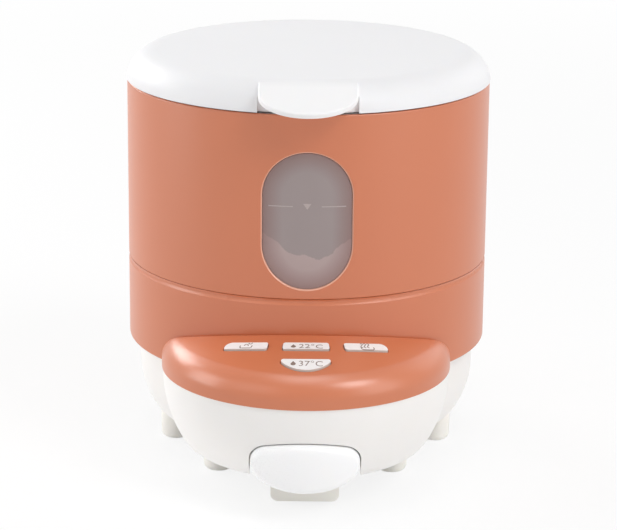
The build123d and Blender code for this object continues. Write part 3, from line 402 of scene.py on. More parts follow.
@dataclass(frozen=True)
class MouldedPlastic:
    """Injection-moulded plastic with a fine mould grain and a slightly uneven sheen."""

    name: str
    colour: Colour
    roughness: float = 0.35
    grain: float = 0.6 * MM
    grain_depth: float = 0.0006 * MM
    mottle: float = 0.012
    shine: float = 0.5
    glow: float = 0.0
    mottle_size: float = 35.0 * MM
    flow_size: float = 50.0 * MM
    flow_stretch: Colour = (1.0, 1.0, 3.0)
    flow_sheen: float = 0.06
    grain_sheen: float = 0.04
    scatter: Colour = (4.0 * MM, 3.0 * MM, 2.0 * MM)

    def tint(self, graph: Graph) -> Paint:
        """The colour, which drifts a little over the moulding."""
        drift = graph.noise(self.mottle_size, 2.0)
        return drifted(graph, drift, self.colour, 1 - self.mottle, 1 + self.mottle)

    def material(self) -> bpy.types.Material:
        """Build the material.

        Returns:
            The material.
        """
        graph = Graph(bpy.data.materials.new(self.name))
        grain = graph.noise(self.grain, 3.0)
        flow = graph.noise(self.flow_size, 2.0, self.flow_stretch)
        sheen = self.flow_sheen * (flow - 0.5) + self.grain_sheen * (grain - 0.5)
        return graph.surface(
            Base_Color=self.tint(graph),
            Roughness=self.roughness + sheen,
            Normal=graph.relief(grain, self.grain_depth),
            Subsurface_Weight=self.glow,
            Subsurface_Radius=self.scatter,
            Specular_IOR_Level=self.shine,
        )


@dataclass(frozen=True)
class LidPlastic(MouldedPlastic):
    """The lid's plastic, with painted light: a little paler on the thumb tab and in its recess."""

    # Painted light: the paler colour of the tab and of the recess under it.
    tab_painted_light: Colour = (0.90, 0.895, 0.90)
    tab_half_width: float = 22.4 * MM
    tab_side: float = 0.6 * MM
    tab_rear: float = 0.0
    tab_fade: float = 8.0 * MM

    def tint(self, graph: Graph) -> Paint:
        """The colour, with painted light that makes the tab and its recess paler.

        Args:
            graph: The material's tree.

        Returns:
            The colour's socket.
        """
        across, depth, _ = graph.position()
        # Painted light on the tab and its recess, fading towards the rear.
        between = abs(across).below(self.tab_half_width, self.tab_side)
        lit_tab = between * depth.below(self.tab_rear, self.tab_fade)
        return graph.blend(lit_tab, super().tint(graph), self.tab_painted_light)


@dataclass(frozen=True)
class Window:
    """The window's outline: a slot with round ends, in front of one place."""

    front: float
    width: float = 40.0 * MM
    height: float = 62.5 * MM
    middle: float = 129.8 * MM
    front_fade: float = 2.0 * MM

    def reach(self, graph: Graph) -> Value:
        """Measure how far a place is from the slot's middle line.

        Args:
            graph: The material's tree.

        Returns:
            The distance, which is 1 on the slot's edge.
        """
        across, _, level = graph.position()
        straight = (self.height - self.width) / 2
        rise = graph.math("MAXIMUM", abs(level - self.middle) - straight, 0.0)
        return (rise * rise + across * across) ** 0.5 / (self.width / 2)

    def ahead(self, graph: Graph) -> Value:
        """Mask that is 1 on the drum's front."""
        return graph.position()[1].below(self.front, self.front_fade)


@dataclass(frozen=True)
class SleevePlastic(MouldedPlastic):
    """The drum's plastic, with a painted highlight on the rounded edge round the window."""

    window: Window | None = None
    # edge is the colour of the painted highlight on the window's rounded edge.
    edge: Colour = (0.80, 0.41, 0.29)
    highlight_reach: float = 1.028
    highlight_fade: float = 0.015

    def tint(self, graph: Graph) -> Paint:
        """The colour, with the painted highlight on the edge round the window."""
        # Painted highlight along the window's rounded edge, on the drum's front only.
        rim_shading = self.window.reach(graph).below(self.highlight_reach, self.highlight_fade) * self.window.ahead(graph)
        return graph.blend(rim_shading, super().tint(graph), self.edge)


@dataclass(frozen=True)
class FrostedPane:
    """Frosted tank plastic, painted darker in the window as shade inside the tank, with the pale heap that
    shows behind it.
    """

    name: str
    window: Window
    axis: float
    face: float
    body: Colour = (0.56, 0.54, 0.535)
    # Painted shade: the window's darker colour stands for the shade inside the tank, and the rim colour for
    # the shade at the window's edge.
    window_shade: Colour = (0.325, 0.270, 0.265)
    rim_shading: Colour = (0.222, 0.104, 0.090)
    rim_shading_reach: float = 0.88
    rim_shading_fade: float = 0.66
    rim_shading_strength: float = 0.95
    heap: Colour = (0.435, 0.335, 0.325)
    heap_lumps: float = 2.5 * MM
    heap_rise: float = 2.8 * MM
    heap_edge: float = 0.5 * MM
    heap_low_depth: float = 6.0 * MM
    heap_low_fade: float = 12.0 * MM
    heap_low_darkening: float = 0.94
    haze_size: float = 20.0 * MM
    haze_depth: float = 0.05
    face_depth: float = 1.0 * MM
    face_fade: float = 0.6 * MM
    frost_size: float = 0.9 * MM
    frost_depth: float = 0.004 * MM
    frost_sheen: float = 0.12
    roughness: float = 0.30
    glow: float = 0.15
    scatter: Colour = (3.0 * MM, 3.0 * MM, 3.0 * MM)
    coat: float = 0.15
    coat_roughness: float = 0.2
    heap_line: tuple[Point, ...] = (
        (-20.0, 124.5),
        (-17.3, 122.0),
        (-14.0, 121.0),
        (-10.8, 118.2),
        (-8.6, 115.2),
        (-6.0, 114.2),
        (1.5, 114.0),
        (4.8, 112.2),
        (7.5, 112.7),
        (11.5, 114.8),
        (13.4, 118.0),
        (17.0, 120.1),
        (20.0, 122.0),
    )

    def seen_through(self, graph: Graph, haze: Value) -> Paint:
        """Colour what shows in the window: painted shade above, the heap below, and painted shade darker at
        the rim.

        Args:
            graph: The material's tree.
            haze: Noise that varies the tone of the painted shade.

        Returns:
            The colour's socket.
        """
        across, _, height = graph.position()
        lumps = graph.noise(self.heap_lumps, 2.0)
        points = [(place * MM, level * MM) for place, level in self.heap_line]
        line = graph.profile(across, points) + self.heap_rise * (lumps - 0.5)
        heap = height.below(line, self.heap_edge)
        # The heap is darker towards its bottom.
        heap_low = height.below(line - self.heap_low_depth, self.heap_low_fade)
        window_shade = drifted(graph, haze, self.window_shade, 1 - self.haze_depth, 1 + self.haze_depth)
        heaped = drifted(graph, heap_low, self.heap, 1.0, self.heap_low_darkening)
        # Painted shade, darker and redder towards the window's edge.
        rim_shading = self.window.reach(graph).above(self.rim_shading_reach, self.rim_shading_fade) * self.rim_shading_strength
        return graph.blend(rim_shading, graph.blend(heap, window_shade, heaped), self.rim_shading)

    def material(self) -> bpy.types.Material:
        """Build the material.

        Returns:
            The material.
        """
        graph = Graph(bpy.data.materials.new(self.name))
        across, depth, _ = graph.position()
        haze = graph.noise(self.haze_size, 3.0)
        behind = depth - self.axis
        reach = (across * across + behind * behind) ** 0.5
        # Inside the window the pane gets the painted shade instead of its own colour.
        in_pane = reach.above(self.face - self.face_depth, self.face_fade) * self.window.ahead(graph)
        body = drifted(graph, haze, self.body, 1 - self.haze_depth, 1 + self.haze_depth)
        frost = graph.noise(self.frost_size, 3.0)
        return graph.surface(
            Base_Color=graph.blend(in_pane, body, self.seen_through(graph, haze)),
            Roughness=self.roughness + self.frost_sheen * frost,
            Normal=graph.relief(frost, self.frost_depth),
            Subsurface_Weight=self.glow,
            Subsurface_Radius=self.scatter,
            Coat_Weight=self.coat,
            Coat_Roughness=self.coat_roughness,
        )


@dataclass(frozen=True)
class KeyCap:
    """White key face over the key's sides, which are painted grey-brown as shade."""

    name: str
    face: Colour
    # side_shade is painted shade on the key's sides.
    side_shade: Colour
    ball_place: float
    ball_height: float
    ball_radius: float
    face_thickness: float = 0.12 * MM
    face_mottle: float = 0.015
    sheen_size: float = 4.0 * MM
    sheen_depth: float = 0.06
    grain: float = 0.5 * MM
    grain_depth: float = 0.0015 * MM
    side_roughness: float = 0.5
    face_polish: float = 0.2

    def material(self) -> bpy.types.Material:
        """Build the material.

        Returns:
            The material.
        """
        graph = Graph(bpy.data.materials.new(self.name))
        across, depth, height = graph.position()
        ahead = depth - self.ball_place
        above = height - self.ball_height
        reach = (across * across + ahead * ahead + above * above) ** 0.5
        top = reach.above(self.ball_radius - self.face_thickness, self.face_thickness / 2)
        sheen = graph.noise(self.sheen_size, 2.0)
        grain = graph.noise(self.grain, 3.0)
        face = drifted(graph, sheen, self.face, 1 - self.face_mottle, 1.0)
        dull = self.side_roughness - self.face_polish * top
        return graph.surface(
            # Below the face, the key's sides get the painted shade colour.
            Base_Color=graph.blend(top, self.side_shade, face),
            Roughness=dull + self.sheen_depth * (sheen - 0.5),
            Normal=graph.relief(grain, self.grain_depth),
        )


@dataclass(frozen=True)
class Rubber:
    """Soft moulded rubber or silicone with a dusty bloom."""

    name: str
    colour: Colour
    roughness: float = 0.6
    glow: float = 0.0
    bloom_size: float = 6.0 * MM
    bloom_sheen: float = 0.15
    darker: float = 0.92
    lighter: float = 1.10
    pore: float = 0.4 * MM
    pore_depth: float = 0.006 * MM
    scatter: Colour = (4.0 * MM, 4.0 * MM, 4.0 * MM)

    def material(self) -> bpy.types.Material:
        """Build the material.

        Returns:
            The material.
        """
        graph = Graph(bpy.data.materials.new(self.name))
        bloom = graph.noise(self.bloom_size, 3.0)
        pores = graph.noise(self.pore, 2.0)
        return graph.surface(
            Base_Color=drifted(graph, bloom, self.colour, self.darker, self.lighter),
            Roughness=self.roughness + self.bloom_sheen * (bloom - 0.5),
            Normal=graph.relief(pores, self.pore_depth),
            Subsurface_Weight=self.glow,
            Subsurface_Radius=self.scatter,
        )


@dataclass(frozen=True)
class DrawnMetal:
    """Metal with fine drawing marks along one axis and a faint tarnish."""

    name: str
    colour: Colour
    roughness: float = 0.3
    mark_size: float = 0.5 * MM
    mark_stretch: Colour = (1.0, 1.0, 30.0)
    mark_depth: float = 0.004 * MM
    mark_sheen: float = 0.18
    tarnish_size: float = 12.0 * MM
    tarnish_sheen: float = 0.1
    darker: float = 0.86

    def material(self) -> bpy.types.Material:
        """Build the material.

        Returns:
            The material.
        """
        graph = Graph(bpy.data.materials.new(self.name))
        marks = graph.noise(self.mark_size, 2.0, self.mark_stretch)
        tarnish = graph.noise(self.tarnish_size, 3.0)
        sheen = self.mark_sheen * (marks - 0.5) + self.tarnish_sheen * (tarnish - 0.5)
        return graph.surface(
            Base_Color=drifted(graph, tarnish, self.colour, self.darker, 1.0),
            Metallic=1.0,
            Roughness=self.roughness + sheen,
            Normal=graph.relief(marks, self.mark_depth),
        )


@dataclass(frozen=True)
class SplitBody:
    """A bought-in unit whose two ends are of different plastic, met at one height or place."""

    name: str
    near: Colour
    far: Colour
    edge: float
    axis: int
    roughness: float = 0.5
    far_polish: float = 0.15
    grain: float = 0.7 * MM
    grain_depth: float = 0.01 * MM
    grain_sheen: float = 0.1
    drift_size: float = 10.0 * MM
    darker: float = 0.9
    near_lighter: float = 1.1
    far_lighter: float = 1.05

    def material(self) -> bpy.types.Material:
        """Build the material.

        Returns:
            The material.
        """
        graph = Graph(bpy.data.materials.new(self.name))
        far = graph.position()[self.axis].above(self.edge, SHARP)
        grain = graph.noise(self.grain, 3.0)
        drift = graph.noise(self.drift_size, 2.0)
        near_paint = drifted(graph, drift, self.near, self.darker, self.near_lighter)
        far_paint = drifted(graph, drift, self.far, self.darker, self.far_lighter)
        return graph.surface(
            Base_Color=graph.blend(far, near_paint, far_paint),
            Roughness=self.roughness - self.far_polish * far + self.grain_sheen * (grain - 0.5),
            Normal=graph.relief(grain, self.grain_depth),
        )


@dataclass(frozen=True)
class CircuitBoard:
    """Green board with copper tracks under its lacquer and its parts above."""

    name: str
    top: float
    lacquer: Colour = (0.015, 0.115, 0.045)
    track: Colour = (0.03, 0.21, 0.075)
    solder: Colour = (0.72, 0.72, 0.70)
    can: Colour = (0.035, 0.04, 0.06)
    wrap: Colour = (0.75, 0.55, 0.08)
    sink: Colour = (0.62, 0.63, 0.64)
    wrap_edge: float = -1.0 * MM
    sink_edge: float = 11.5 * MM
    track_pitch: float = 4.2 * MM
    cross_pitch: float = 6.5 * MM
    cross_slant: float = 0.5
    track_gap: float = 0.62
    cross_gap: float = 0.7
    track_edge: float = 0.05
    land_size: float = 12.0 * MM
    land_level: float = 0.52
    land_edge: float = 0.02
    pad_pitch: float = 4.5 * MM
    pad_radius: float = 0.17
    pad_edge: float = 0.03
    track_depth: float = 0.03 * MM
    roughness: float = 0.42
    pad_polish: float = 0.12

    def tracks(self, graph: Graph) -> Value:
        """Draw the copper tracks.

        Args:
            graph: The material's tree.

        Returns:
            A mask that is 1 on them.
        """
        across, depth, _ = graph.position()
        along = ((across + depth) / self.track_pitch).fraction()
        slanted = ((across - depth * self.cross_slant) / self.cross_pitch).fraction()
        weave = along.above(self.track_gap, self.track_edge)
        cross = slanted.above(self.cross_gap, self.track_edge)
        lands = graph.noise(self.land_size, 1.0).above(self.land_level, self.land_edge)
        return (weave * lands + cross * (1 - lands)).clamped()

    def material(self) -> bpy.types.Material:
        """Build the material.

        Returns:
            The material.
        """
        graph = Graph(bpy.data.materials.new(self.name))
        across, _, height = graph.position()
        tracks = self.tracks(graph)
        pads = graph.cells(self.pad_pitch).below(self.pad_radius, self.pad_edge)
        board = graph.blend(pads, graph.blend(tracks, self.lacquer, self.track), self.solder)
        wrapped = graph.blend(across.above(self.wrap_edge, SHARP), self.wrap, self.can)
        sink = across.above(self.sink_edge, SHARP)
        raised = height.above(self.top + SHARP, SHARP / 2)
        return graph.surface(
            Base_Color=graph.blend(raised, board, graph.blend(sink, wrapped, self.sink)),
            Metallic=(pads * (1 - raised) + sink * raised).clamped(),
            Roughness=self.roughness - self.pad_polish * pads,
            Normal=graph.relief(tracks * (1 - raised), self.track_depth),
        )


@dataclass(frozen=True)
class PrintedInk:
    """Pad-printed ink, a little uneven."""

    name: str
    colour: Colour
    wear_size: float = 0.7 * MM
    wear_sheen: float = 0.1
    darker: float = 0.88
    lighter: float = 1.15
    roughness: float = 0.45

    def material(self) -> bpy.types.Material:
        """Build the material.

        Returns:
            The material.
        """
        graph = Graph(bpy.data.materials.new(self.name))
        wear = graph.noise(self.wear_size, 3.0)
        return graph.surface(
            Base_Color=drifted(graph, wear, self.colour, self.darker, self.lighter),
            Roughness=self.roughness + self.wear_sheen * (wear - 0.5),
        )


class Finish(Enum):
    """Every finish on the machine, by the record's material slot or the print it is for."""

    TERRACOTTA = MouldedPlastic("terracotta_plastic", (0.61, 0.180, 0.077), 0.30, shine=0.8)
    WHITE = MouldedPlastic("white_plastic", (0.895, 0.878, 0.857), 0.30, mottle=0.012, glow=0.06)
    LID = MouldedPlastic("lid_plastic", (0.82, 0.817, 0.83), 0.42, mottle=0.010, shine=0.3, glow=0.06)
    # The nose gets a brighter, cooler white than the belly: partly its own plastic, partly painted light for
    # the light on its front.
    NOSE = MouldedPlastic("nose_plastic", (0.95, 0.95, 0.955), 0.28, mottle=0.006, glow=0.06)
    FOOT = MouldedPlastic("foot_plastic", (0.97, 0.945, 0.89), 0.40, mottle=0.01, glow=0.1)
    IVORY = MouldedPlastic("ivory_plastic", (0.92, 0.895, 0.835), 0.40, mottle=0.02, glow=0.1)
    SEAL = Rubber("seal_rubber", (0.30, 0.30, 0.30))
    HOSE = Rubber("hose_silicone", (0.62, 0.60, 0.55), 0.4, glow=0.15)
    HEATER = DrawnMetal("heater_metal", (0.60, 0.60, 0.61), 0.35)
    CONTACT = DrawnMetal("contact_metal", (0.68, 0.68, 0.66), 0.22)
    SCREW = DrawnMetal("screw_steel", (0.50, 0.50, 0.50), 0.32)
    INLET = MouldedPlastic("inlet_plastic", (0.022, 0.022, 0.024), 0.42)
    KEY_INK = PrintedInk("key_ink", (0.24, 0.18, 0.15))
    LEVEL_INK = PrintedInk("level_ink", (0.44, 0.37, 0.36))


MADE: dict[str, bpy.types.Material] = {}


def finish_of(look: "Finish | Look") -> bpy.types.Material:
    """The material of a finish, made once.

    Args:
        look: A member of Finish, or a finish of its own.

    Returns:
        The material.
    """
    finish = look.value if isinstance(look, Finish) else look
    if finish.name not in MADE:
        MADE[finish.name] = finish.material()
    return MADE[finish.name]


def dress(nodes: Iterable[str], look: "Finish | Look") -> None:
    """Give CAD nodes a finish.

    Args:
        nodes: The nodes' names.
        look: The finish.
    """
    for name in nodes:
        mesh = NODES[name].data
        mesh.materials.clear()
        mesh.materials.append(finish_of(look))
        log.info("%s in %s", name, mesh.materials[0].name)


def placed(name: str, data: bpy.types.ID) -> bpy.types.Object:
    """Put a new object in the scene.

    Args:
        name: Its name.
        data: Its mesh, curve, light or camera.

    Returns:
        The object.
    """
    piece = bpy.data.objects.new(name, data)
    bpy.context.scene.collection.objects.link(piece)
    return piece


def drum_axis() -> float:
    """Where the drum's axis stands, front to back."""
    low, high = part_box("housing_ring")
    return (low.y + high.y) / 2


# ---------------------------------------------------------------------------------------------
# Printed marks
# ---------------------------------------------------------------------------------------------
def arc(centre: Point, radius: float, start: float, end: float, steps: int = 12) -> list[Point]:
    """Points along an arc.

    Args:
        centre: Its centre.
        radius: Its radius.
        start: Its first angle, in degrees.
        end: Its last angle, in degrees.
        steps: How many stretches it has.

    Returns:
        The points.
    """
    angles = [math.radians(start + (end - start) * step / steps) for step in range(steps + 1)]
    return [(centre[0] + radius * math.cos(angle), centre[1] + radius * math.sin(angle)) for angle in angles]


@dataclass
class Mark:
    """A thin print on a surface, drawn flat and then laid on it."""

    name: str
    body: str
    slot: str
    look: Finish
    lay: Callable[[float, float, float], Vector]
    thickness: float = 0.05 * MM
    sunk: float = 0.12 * MM
    curve_steps: int = 4
    weld: float = 0.001 * MM

    def _place(self, flat: bmesh.types.BMesh) -> bpy.types.Object:
        """Lay a flat mesh on the surface, give it thickness and make it ride.

        Args:
            flat: The print, in the surface's own two directions, in metres.

        Returns:
            The new object.
        """
        faces = list(flat.faces)
        grown = bmesh.ops.extrude_face_region(flat, geom=faces)
        lower = {v for v in grown["geom"] if isinstance(v, bmesh.types.BMVert)}
        for vert in flat.verts:
            lift = -self.sunk if vert in lower else self.thickness
            vert.co = self.lay(vert.co.x, vert.co.y, lift)
        bmesh.ops.recalc_face_normals(flat, faces=flat.faces)
        mesh = bpy.data.meshes.new(self.name)
        flat.to_mesh(mesh)
        flat.free()
        mesh.materials.append(finish_of(self.look))
        piece = placed(self.name, mesh)
        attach(piece, self.body)
        log.info("%s printed on %s", self.name, self.body)
        return piece

    def strokes(self, lines: list[list[Point]], width: float) -> bpy.types.Object:
        """Print pen strokes.

        Args:
            lines: The points of each stroke, in metres.
            width: The strokes' width.

        Returns:
            The new object.
        """
        flat = bmesh.new()
        for line in lines:
            previous = None
            for index, (u, v) in enumerate(line):
                before = line[max(index - 1, 0)]
                after = line[min(index + 1, len(line) - 1)]
                along = Vector((after[0] - before[0], after[1] - before[1])).normalized()
                side = Vector((-along.y, along.x)) * width / 2
                pair = [flat.verts.new((u + side.x * sign, v + side.y * sign, 0.0)) for sign in (1, -1)]
                if previous:
                    flat.faces.new((previous[0], previous[1], pair[1], pair[0]))
                previous = pair
        return self._place(flat)

    def outline(self, points: list[Point]) -> bpy.types.Object:
        """Print a filled outline.

        Args:
            points: The outline's points, in metres.

        Returns:
            The new object.
        """
        flat = bmesh.new()
        flat.faces.new([flat.verts.new((u, v, 0.0)) for u, v in points])
        bmesh.ops.triangulate(flat, faces=flat.faces)
        return self._place(flat)

    def figures(
        self,
        text: str,
        size: float,
        centre: Point,
        width: float,
        thinning: float,
    ) -> bpy.types.Object:
        """Print figures.

        Args:
            text: The figures.
            size: Their size.
            centre: The middle of the print.
            width: The whole print's width.
            thinning: How much the outlines are drawn in.

        Returns:
            The new object.
        """
        curve = bpy.data.curves.new(self.name, "FONT")
        curve.body = text
        curve.size = size
        curve.align_x = "CENTER"
        curve.align_y = "CENTER"
        curve.resolution_u = self.curve_steps
        curve.offset = -thinning
        holder = placed(self.name, curve)
        bpy.context.view_layer.update()
        graph = bpy.context.evaluated_depsgraph_get()
        written = bpy.data.meshes.new_from_object(holder.evaluated_get(graph))
        bpy.data.objects.remove(holder)
        flat = bmesh.new()
        flat.from_mesh(written)
        bpy.data.meshes.remove(written)
        bmesh.ops.remove_doubles(flat, verts=flat.verts, dist=self.weld)
        low = Vector([min(vert.co[axis] for vert in flat.verts) for axis in range(3)])
        high = Vector([max(vert.co[axis] for vert in flat.verts) for axis in range(3)])
        widen = width / (high.x - low.x)
        for vert in flat.verts:
            from_middle = vert.co - (low + high) / 2
            vert.co = Vector((centre[0] + from_middle.x * widen, centre[1] + from_middle.y, 0.0))
        return self._place(flat)


# ---------------------------------------------------------------------------------------------
# Sub-assemblies
# ---------------------------------------------------------------------------------------------
@dataclass
class Housing:
    """Belly, ring, pod cover and feet."""

    sides: tuple[str, ...] = ("right", "left")
    places: tuple[str, ...] = ("side", "front", "rear")

    def build(self) -> None:
        """Dress the outer shells and the feet."""
        dress(["housing_ring", "pod_cover"], Finish.TERRACOTTA)
        dress(["base_shell"], Finish.WHITE)
        dress([f"foot_{side}_{place}" for side in self.sides for place in self.places], Finish.FOOT)
        dress(["tank_deck"], Finish.WHITE)
        dress(["mains_inlet"], Finish.INLET)
        dress(["inlet_pins"], Finish.CONTACT)
        dress(["housing_screws"], Finish.SCREW)


@dataclass
class KeyPad:
    """Four keys on the pod with their printed signs."""

    pod_reach: float = 55.0 * MM
    dome_radius: float = 150.4 * MM
    pod_top: float = 81.2 * MM
    key_rise: float = 0.8 * MM
    plunger_low: float = 64.0 * MM
    ring_middle: float = 96.55 * MM
    side_angle: float = 16.05
    moon_middle: float = 109.5 * MM
    pen: float = 0.38 * MM
    cool_size: float = 4.1 * MM
    warm_size: float = 4.7 * MM
    thinning: float = 0.035 * MM
    text_width: float = 10.6 * MM
    text_shift: float = 2.2 * MM
    drop_shift: float = -5.6 * MM
    drop_radius: float = 1.15 * MM
    drop_height: float = 0.75
    cool_level: float = -0.3 * MM
    warm_level: float = 0.6 * MM
    face: Colour = (0.91, 0.905, 0.90)
    # Painted shade colour of the keys' sides.
    side_shade: Colour = (0.62, 0.53, 0.48)
    switch_case: Colour = (0.02, 0.02, 0.02)
    switch_plunger: Colour = (0.55, 0.50, 0.40)
    tray_corner: float = 0.9 * MM
    stir_tray: tuple[float, ...] = (-2.6 * MM, 2.8 * MM, -1.8 * MM, 0.0)
    stir_head: Point = (0.1 * MM, 0.0)
    stir_head_radius: float = 0.9 * MM
    spoon_curl: Point = (1.6 * MM, 1.9 * MM)
    spoon_radius: float = 0.8 * MM
    steam_tray: tuple[float, ...] = (-2.5 * MM, 3.4 * MM, -2.3 * MM, -0.5 * MM)
    steam_places: tuple[float, ...] = (-1.9 * MM, -0.4 * MM, 1.1 * MM)
    wave_upper: Point = (0.1 * MM, 1.5 * MM)
    wave_upper_radius: float = 0.55 * MM
    wave_lower: Point = (0.3 * MM, -0.2 * MM)
    wave_lower_radius: float = 0.75 * MM

    def _on_dome(self, centre: Point, turn: float) -> Callable[[float, float, float], Vector]:
        """How a flat print about one key's centre is laid on the keys' dome.

        Args:
            centre: The key's centre from above.
            turn: How far the print is turned, in degrees.

        Returns:
            The function that lays a point.
        """
        radius = self.dome_radius + self.key_rise
        ball = Vector((0.0, drum_axis() - self.pod_reach, self.pod_top - self.dome_radius))
        cosine, sine = math.cos(math.radians(turn)), math.sin(math.radians(turn))

        def lay(u: float, v: float, lift: float) -> Vector:
            """Lay one point on the dome.

            Args:
                u: How far it is to the print's right.
                v: How far it is up the print.
                lift: How far it stands off the dome.

            Returns:
                The place.
            """
            x = centre[0] + u * cosine - v * sine
            y = centre[1] + u * sine + v * cosine
            rise = math.sqrt(radius**2 - (x - ball.x) ** 2 - (y - ball.y) ** 2)
            normal = Vector((x - ball.x, y - ball.y, rise)) / radius
            return Vector((x, y, ball.z + rise)) + normal * lift

        return lay

    def _mark(self, name: str, key: str, centre: Point, turn: float = 0.0) -> Mark:
        """A print on one key."""
        return Mark(name, f"key_{key}", "key_plastic", Finish.KEY_INK, self._on_dome(centre, turn))

    def drop(self, middle: Point, tall: float) -> list[Point]:
        """Outline of a falling drop.

        Args:
            middle: The middle of the drop.
            tall: Its height, as a share of a slim drop's.

        Returns:
            The outline's points.
        """
        radius = self.drop_radius
        points = arc((0.0, -0.4 * radius), radius, -205.0, 25.0, 16) + [(0.0, 1.7 * radius)]
        return [(middle[0] + u, middle[1] + v * tall) for u, v in points]

    def finish(self) -> KeyCap:
        """Set the keys' own finish to the dome.

        Returns:
            The finish, whose face follows the dome.
        """
        ball_place = drum_axis() - self.pod_reach
        ball_height = self.pod_top - self.dome_radius
        ball_radius = self.dome_radius + self.key_rise
        return KeyCap("key_plastic", self.face, self.side_shade, ball_place, ball_height, ball_radius)

    def build(self) -> None:
        """Dress the keys and print their signs."""
        dress(["button_cool", "button_warm", "button_steam", "button_mix"], self.finish())
        switches = SplitBody("key_switches", self.switch_case, self.switch_plunger, self.plunger_low, 2)
        dress(["key_switches"], switches)
        dress(["control_board"], CircuitBoard("control_board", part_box("control_board")[1].z))
        self._print_temperatures()
        self._print_signs()

    def _print_temperatures(self) -> None:
        """Print a drop and a temperature on each of the two middle keys."""
        prints = (
            ("cool", "22°C", self.ring_middle, self.cool_size, self.cool_level),
            ("warm", "37°C", self.moon_middle, self.warm_size, self.warm_level),
        )
        for key, figures, middle, size, level in prints:
            centre = (0.0, drum_axis() - middle)
            drop = self.drop((self.drop_shift, level), self.drop_height * size / self.warm_size)
            self._mark(f"drop_{key}", key, centre).outline(drop)
            mark = self._mark(f"figures_{key}", key, centre)
            mark.figures(figures, size, (self.text_shift, level), self.text_width, self.thinning)

    def _print_signs(self) -> None:
        """Print a sign on each of the two side keys."""
        angle = math.radians(self.side_angle)
        aside, ahead = self.ring_middle * math.sin(angle), self.ring_middle * math.cos(angle)
        for key, side, sign in (("mix", -1, self.stir_sign()), ("steam", 1, self.steam_sign())):
            centre = (side * aside, drum_axis() - ahead)
            self._mark(f"sign_{key}", key, centre, side * self.side_angle).strokes(sign, self.pen)

    def tray(self, left: float, right: float, low: float, high: float) -> list[Point]:
        """Open tray of both signs.

        Args:
            left: Its left end.
            right: Its right end.
            low: Its bottom.
            high: The top of its ends.

        Returns:
            The stroke's points.
        """
        corner = self.tray_corner
        turn_left = arc((left + corner, low + corner), corner, 180.0, 270.0, 6)
        turn_right = arc((right - corner, low + corner), corner, 270.0, 360.0, 6)
        return [(left, high), *turn_left, *turn_right, (right, high)]

    def stir_sign(self) -> list[list[Point]]:
        """Draw a tray with a whisk's head and a spoon's curl over it.

        Returns:
            The strokes.
        """
        head = arc(self.stir_head, self.stir_head_radius, 190.0, -10.0)
        spoon = arc(self.spoon_curl, self.spoon_radius, 170.0, 370.0)
        return [self.tray(*self.stir_tray), head, spoon]

    def steam_sign(self) -> list[list[Point]]:
        """Draw a tray with three waves of steam.

        Returns:
            The strokes.
        """
        waves = []
        for place in self.steam_places:
            above = (place + self.wave_upper[0], self.wave_upper[1])
            below = (place + self.wave_lower[0], self.wave_lower[1])
            upper = arc(above, self.wave_upper_radius, 150.0, -60.0, 8)
            lower = arc(below, self.wave_lower_radius, 130.0, 270.0, 8)
            waves.append(upper + lower)
        return [self.tray(*self.steam_tray), *waves]


@dataclass
class CoilSpring:
    """Spring of round wire that stands for a CAD node."""

    node: str
    body: str
    joint: str
    slot: str
    look: Finish
    wire_radius: float = 0.35 * MM
    turns: int = 4
    turn_steps: int = 24

    def _wound(self, low: Vector, high: Vector) -> bpy.types.Mesh:
        """Wind the wire.

        Args:
            low: The spring's lowest corner.
            high: Its highest corner.

        Returns:
            The coil's mesh.
        """
        radius = (high.x - low.x) / 2 - self.wire_radius
        middle = (low + high) / 2
        tall = high.z - low.z - 2 * self.wire_radius
        steps = self.turns * self.turn_steps
        curve = bpy.data.curves.new(self.node, "CURVE")
        curve.dimensions = "3D"
        curve.bevel_depth = self.wire_radius
        curve.use_fill_caps = True
        wire = curve.splines.new("POLY")
        wire.points.add(steps)
        for step, point in enumerate(wire.points):
            angle = 2 * math.pi * step / self.turn_steps
            across = middle.x + radius * math.cos(angle)
            depth = middle.y + radius * math.sin(angle)
            level = low.z + self.wire_radius + tall * step / steps
            point.co = (across, depth, level, 1.0)
        drawn = bpy.data.objects.new(self.node, curve)
        mesh = bpy.data.meshes.new_from_object(drawn)
        bpy.data.objects.remove(drawn)
        bpy.data.curves.remove(curve)
        return mesh

    def build(self) -> None:
        """Put the coil in the node's place on its body and hide the node."""
        low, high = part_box(self.node)
        mesh = self._wound(low, high)
        mesh.name = f"{self.node}_coil"
        mesh.shade_smooth()
        mesh.materials.append(finish_of(self.look))
        coil = placed(mesh.name, mesh)
        travel = next(joint["range_m"][1] for joint in frame["joints"] if joint["name"] == self.joint)
        tall = high.z - low.z
        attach(coil, self.body)
        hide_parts(self.node)
        1 - travel / tall
        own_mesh(coil)
        log.info("%s stands for %s", coil.name, self.node)


